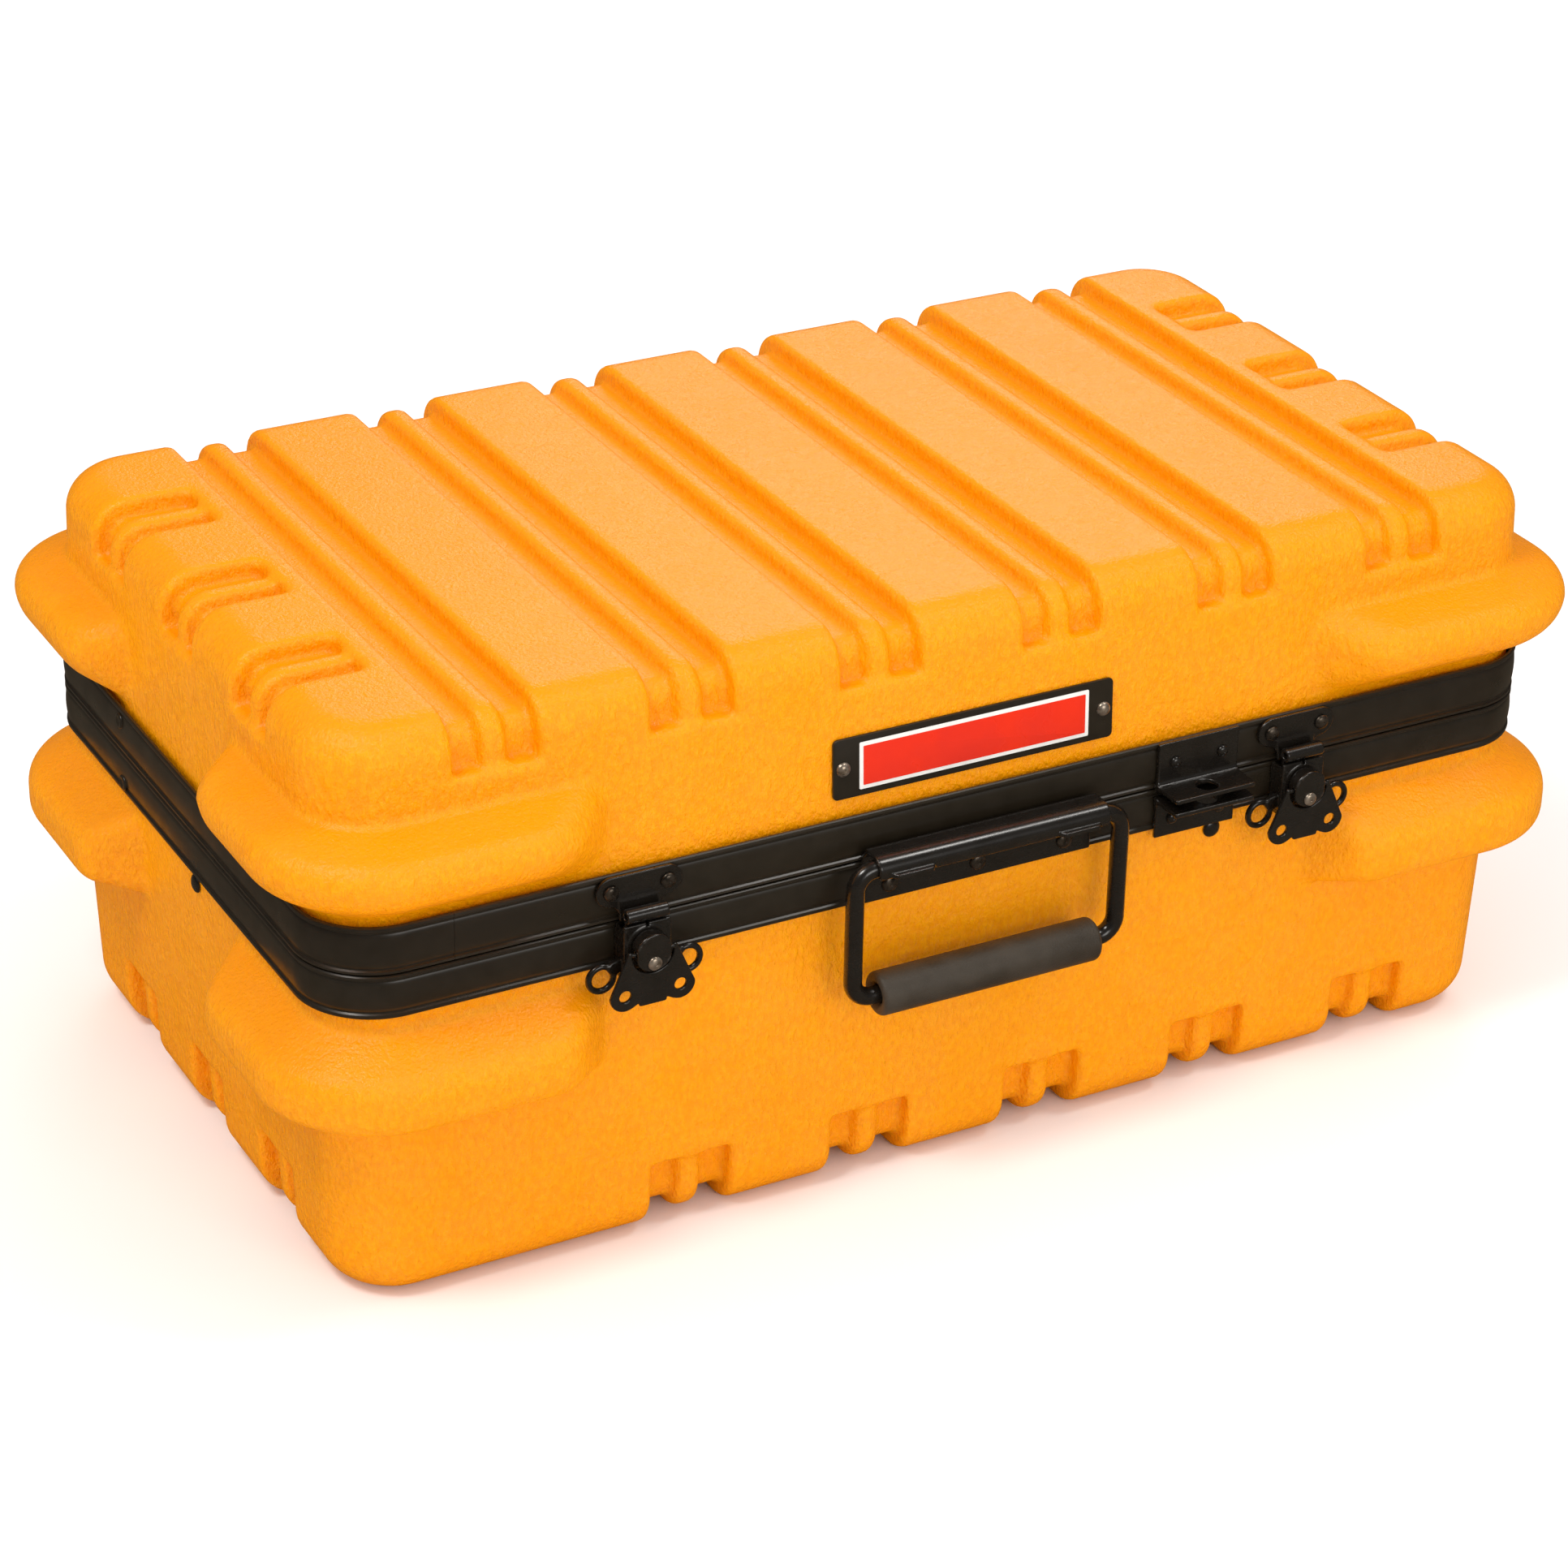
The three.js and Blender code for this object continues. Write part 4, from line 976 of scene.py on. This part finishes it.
def add_handle():
    cell = 0.42
    bracket = field_piece(
        "handle_bracket_piece",
        bracket_field,
        (-BRACKET_HALF, -166.5, -18.0),
        (BRACKET_HALF, FACE, 8.5),
        cell,
        STEEL,
    )
    stand_for(bracket, "base", "black_steel", "handle_bracket")
    bail = swept_wire("handle_bail_piece", bail_points(), WIRE, STEEL)
    stand_for(bail, "handle", "black_steel", "handle_bail")
    place = (0.0, PIVOT_Y, GRIP_Z)
    sleeve = grip_profile()
    axis = (1.0, 0.0, 0.0)
    grip = turned("handle_grip_piece", sleeve + sleeve[:1], place, axis, VINYL, 48, 45, weld=True)
    stand_for(grip, "handle", "grip_vinyl", "handle_grip")


# ------------------------------------------------ padlock hasp
HASP_HALF = (HASP_HIGH[0] - HASP_LOW[0]) / 2
HASP_REACH = HASP_LOW[1]
HASP_HOLE_Y = -157.0
HASP_HOLE = 4.5
HASP_SHEET = 1.8
HASP_CORNER = 1.2
HASP_CLEAR, HASP_LID_TOP = 0.5, 20.2
HASP_BASE_LOW, HASP_BASE_TOP = -20.6, -3.6
HASP_FILLET = 2.6


def hasp_field(leaf_from, leaf_to, flange_from):
    """An angle plate: a leaf on the valance and a flange out to the front with a hole."""
    middle_y = (HASP_REACH + FACE) / 2
    half_depth = (FACE - HASP_REACH) / 2

    def field(x, y, z):
        across = np.abs(x - HASP_X)
        low = (-HASP_HALF, FACE - HASP_SHEET, leaf_from)
        leaf = block(across, y, z, low, (HASP_HALF, FACE, leaf_to), 0.35)
        outline = rounded_rectangle(across, y - middle_y, HASP_HALF, half_depth, HASP_CORNER)
        hole = HASP_HOLE - np.sqrt(across**2 + (y - HASP_HOLE_Y) ** 2)
        outline = smooth_max(outline, hole, 0.5)
        level = np.abs(z - flange_from - HASP_SHEET / 2) - HASP_SHEET / 2
        flange = rounded_max(outline, level, 0.4)
        return smooth_min(leaf, flange, HASP_FILLET)

    return field


def add_hasp():
    cell = 0.42
    for name, body, spans in (
        ("hasp_lid_plate", "lid", (HASP_CLEAR, HASP_LID_TOP, HASP_CLEAR)),
        ("hasp_base_plate", "base", (HASP_BASE_LOW, HASP_BASE_TOP, HASP_BASE_TOP - HASP_SHEET)),
    ):
        low, high = parting_box(name)
        piece = field_piece(name + "_piece", hasp_field(*spans), low, high, cell, STEEL)
        stand_for(piece, body, "black_steel", name)


# ------------------------------------------------ rear hinges
KNUCKLE = 2.9
HINGE_PIN = 1.4
HINGE_HALF = 30.0
HINGE_SPLIT = 10.0
HINGE_SHEET = 2.1  # from the valance to the leaf's face
HINGE_CLEAR, HINGE_REACH = 3.4, 17.0  # the leaf's near and far edge, from the parting plane
HINGE_Y = BAND_Y + GAP + KNUCKLE


def hinge_field(hinge_x, upwards):
    """A leaf with one middle knuckle (lid) or two outer knuckles (base)."""

    def field(x, y, z):
        across = np.abs(x - hinge_x)
        height = z * upwards
        back, front = BAND_Y + GAP, BAND_Y + HINGE_SHEET
        low = (-HINGE_HALF, back, HINGE_CLEAR)
        leaf = block(across, y, height, low, (HINGE_HALF, front, HINGE_REACH), 0.5)
        if upwards > 0:
            start, end = -HINGE_SPLIT + GAP, HINGE_SPLIT - GAP
        else:
            start, end = HINGE_SPLIT, HINGE_HALF
        roll = bar(y - HINGE_Y, z, across, KNUCKLE, start, end, 0.3)
        root = block(across, y, height, (start, back, 0.0), (end, front, 5.0))
        bore = np.sqrt((y - HINGE_Y) ** 2 + z * z) - HINGE_PIN - GAP
        return np.maximum(smooth_min(smooth_min(leaf, root, 0.5), roll, 0.8), -bore)

    return field


def add_hinges():
    cell = 0.5
    for side, sign in (("left", -1.0), ("right", 1.0)):
        for half, body, upwards in (("lid", "lid", 1.0), ("base", "base", -1.0)):
            name = f"hinge_{half}_leaf_{side}"
            low, high = parting_box(name)
            field = hinge_field(sign * LATCH_X, upwards)
            piece = field_piece(name + "_piece", field, low, high, cell, STEEL)
            stand_for(piece, body, "black_steel", name)
        end = HINGE_HALF + GAP
        half_profile = [(0.0, end + 1.0), (1.8, end + 0.9), (2.3, end + 0.5), (2.3, end), (HINGE_PIN, end)]
        mirrored = [(radius, -along) for radius, along in reversed(half_profile)]
        place = (sign * LATCH_X, HINGE_Y, 0.0)
        pin = turned(f"hinge_pin_{side}_piece", half_profile + mirrored, place, (1.0, 0.0, 0.0), RIVET)
        stand_for(pin, "lid", "rivet_steel", f"hinge_pin_{side}")


# ------------------------------------------------ nameplate
PLATE_HALF_X, PLATE_HALF_Z = 61.0, 12.3
PLATE_Z = 38.6
LABEL_HALF_X, LABEL_HALF_Z = 50.0, 9.6
LABEL_BORDER = 1.6


def rounded_outline(half_x, half_z, corner, steps=6):
    """Corner points of a rounded rectangle, counterclockwise from the front."""
    points = []
    for quarter in range(4):
        middle_x = (half_x - corner) * (1 if quarter in (0, 3) else -1)
        middle_z = (half_z - corner) * (1 if quarter in (0, 1) else -1)
        for step in range(steps + 1):
            angle = math.pi / 2 * (quarter + step / steps)
            points.append((middle_x + corner * math.cos(angle), middle_z + corner * math.sin(angle)))
    return points


def wall_plate(name, half_x, half_z, corner, back, front, edge, material):
    """A thin plate on the lid's leaning front wall; back and front are heights off the wall."""
    lean = math.atan2(LID.lean[1], LID_HEIGHT)
    wall_y = -WALL_Y + LID.lean[1] * PLATE_Z / LID_HEIGHT
    layers = ((0.0, back), (0.0, front - edge), (edge * 0.3, front - edge * 0.3), (edge, front))
    vertices, faces = [], []
    for inset, height in layers:
        for x, up in rounded_outline(half_x - inset, half_z - inset, max(corner - inset, 0.1)):
            y = wall_y - height * math.cos(lean) + up * math.sin(lean)
            z = PLATE_Z + height * math.sin(lean) + up * math.cos(lean)
            vertices.append((x, y, z))
    count = len(vertices) // len(layers)
    for layer in range(len(layers) - 1):
        for index in range(count):
            after = (index + 1) % count
            near, far = layer * count, (layer + 1) * count
            faces.append((near + index, near + after, far + after, far + index))
    faces.append(tuple(range(count)))
    faces.append(tuple(range(len(vertices) - count, len(vertices))))
    return creased_piece(name, vertices, faces, material, 35)


def add_nameplate():
    plate = wall_plate("nameplate_plate", PLATE_HALF_X, PLATE_HALF_Z, 2.0, 0.3, 1.3, 0.3, ALUMINIUM)
    stand_for(plate, "lid", "black_aluminium", "nameplate")
    border = wall_plate("nameplate_border", LABEL_HALF_X, LABEL_HALF_Z, 0.6, 1.25, 1.6, 0.1, LABEL_WHITE)
    stand_for(border, "lid", "label_red")
    half_x, half_z = LABEL_HALF_X - LABEL_BORDER, LABEL_HALF_Z - LABEL_BORDER
    panel = wall_plate("nameplate_panel", half_x, half_z, 0.3, 1.55, 1.8, 0.1, LABEL_RED)
    stand_for(panel, "lid", "label_red", "nameplate_label")


# ------------------------------------------------ crimps of the valances
CRIMP_Y, CRIMP_Z = 57.6, 13.6


def add_crimps():
    """Two pressed dimples that hold the left end's valances on their shells."""
    crater = [(0.0, 0.12), (1.2, 0.15), (2.0, 0.5), (2.5, 0.6)]
    profile = crater + [(3.0, 0.45), (3.3, 0.0), (3.3, -0.3), (0.0, -0.3)]
    for name, body, z in (("lid_crimp", "lid", CRIMP_Z), ("base_crimp", "base", -CRIMP_Z)):
        place = (-BAND_X, CRIMP_Y, z)
        piece = turned(name, profile[::-1], place, TOWARDS["left"], ALUMINIUM)
        stand_for(piece, body, "black_aluminium")


# ------------------------------------------------ studio
CAMERA_AZIMUTH = -28.734
CAMERA_ELEVATION = 27.955
CAMERA_ROLL = 1.199
CAMERA_DISTANCE = 1.76732
CAMERA_TARGET = (-0.01194, -0.01677, PARTING * MM - 0.03853)
CAMERA_LENS = 99.745  # on a 36 mm sensor


def add_camera():
    camera = bpy.data.objects.new("camera", bpy.data.cameras.new("camera"))
    camera.data.lens = CAMERA_LENS
    camera.data.sensor_width = 36.0
    camera.data.clip_start = 0.05
    azimuth = math.radians(CAMERA_AZIMUTH)
    elevation = math.radians(CAMERA_ELEVATION)
    turn = Matrix.Rotation(azimuth, 4, "Z")
    tilt = Matrix.Rotation(math.pi / 2 - elevation, 4, "X")
    roll = Matrix.Rotation(math.radians(CAMERA_ROLL), 4, "Z")
    facing = turn @ tilt @ roll
    backwards = facing @ Vector((0.0, 0.0, 1.0, 0.0))
    place = Vector(CAMERA_TARGET) + backwards.to_3d() * CAMERA_DISTANCE
    camera.matrix_world = Matrix.Translation(place) @ facing
    bpy.context.scene.collection.objects.link(camera)
    bpy.context.scene.camera = camera


def area_light(name, place, target, size, power, colour=(1.0, 1.0, 1.0)):
    light = bpy.data.lights.new(name, "AREA")
    light.shape = "RECTANGLE"
    light.size, light.size_y = size
    light.energy = power
    light.color = colour
    lamp = bpy.data.objects.new(name, light)
    lamp.location = place
    direction = Vector(target) - Vector(place)
    lamp.rotation_euler = direction.to_track_quat("-Z", "Y").to_euler()
    bpy.context.scene.collection.objects.link(lamp)


def dimmer_in_reflections(tree, full, reflected):
    """A strength that is lower for glossy rays, as black flags round a studio table make it."""
    path = tree.nodes.new("ShaderNodeLightPath")
    return spread(tree, path.outputs["Is Glossy Ray"], full, reflected, 0.0, 1.0)


def add_floor():
    """A wide pale floor with a faint mottling, painted dark brown where reflections see it."""
    half = 6.0
    mesh = bpy.data.meshes.new("floor")
    corners = [(-half, -half, 0.0), (half, -half, 0.0), (half, half, 0.0), (-half, half, 0.0)]
    mesh.from_pydata(corners, [], [(0, 1, 2, 3)])
    material, tree, shader = new_material("floor")
    mottling = spread(tree, noise(tree, 3.0, 2.0), 0.0, 1.0)
    pale = colour_mix(tree, mottling, (0.95, 0.95, 0.95), (0.98, 0.98, 0.98))
    # Glossy rays see the floor painted dark brown: a painted shade in its reflections, as black flags
    # round the table would give.
    share = dimmer_in_reflections(tree, 0.0, 1.0)
    tree.links.new(colour_mix(tree, share, pale, (0.10, 0.08, 0.055)), shader.inputs["Base Color"])
    shader.inputs["Roughness"].default_value = 0.8
    shader.inputs["Specular IOR Level"].default_value = 0.1
    mesh.materials.append(material)
    floor = bpy.data.objects.new("floor", mesh)
    bpy.context.scene.collection.objects.link(floor)


def add_studio():
    world = bpy.data.worlds.new("studio")
    world.use_nodes = True
    tree = world.node_tree
    background = tree.nodes["Background"]
    background.inputs["Color"].default_value = (1.0, 1.0, 1.0, 1.0)
    tree.links.new(dimmer_in_reflections(tree, 0.85, 0.05), background.inputs["Strength"])
    bpy.context.scene.world = world
    bpy.context.scene.view_settings.view_transform = "Standard"
    middle = (0.0, 0.0, 0.12)
    area_light("key", (-1.3, -0.5, 2.3), middle, (0.6, 0.6), 24.0, (1.0, 0.97, 0.93))
    area_light("bend_glint", (0.9, -0.65, 2.0), middle, (0.4, 0.4), 8.0, (1.0, 0.97, 0.93))
    area_light("front_fill", (0.3, -2.6, 1.0), middle, (1.2, 0.8), 14.0, (1.0, 0.97, 0.93))
    area_light("back_sheen", (1.5, 2.4, 1.5), middle, (1.4, 0.8), 12.0)


add_shells()
add_valances()
add_latch("left", -LATCH_X)
add_latch("right", LATCH_X)
add_handle()
add_hasp()
add_hinges()
add_nameplate()
add_rivets()
add_crimps()
add_camera()
add_floor()
add_studio()
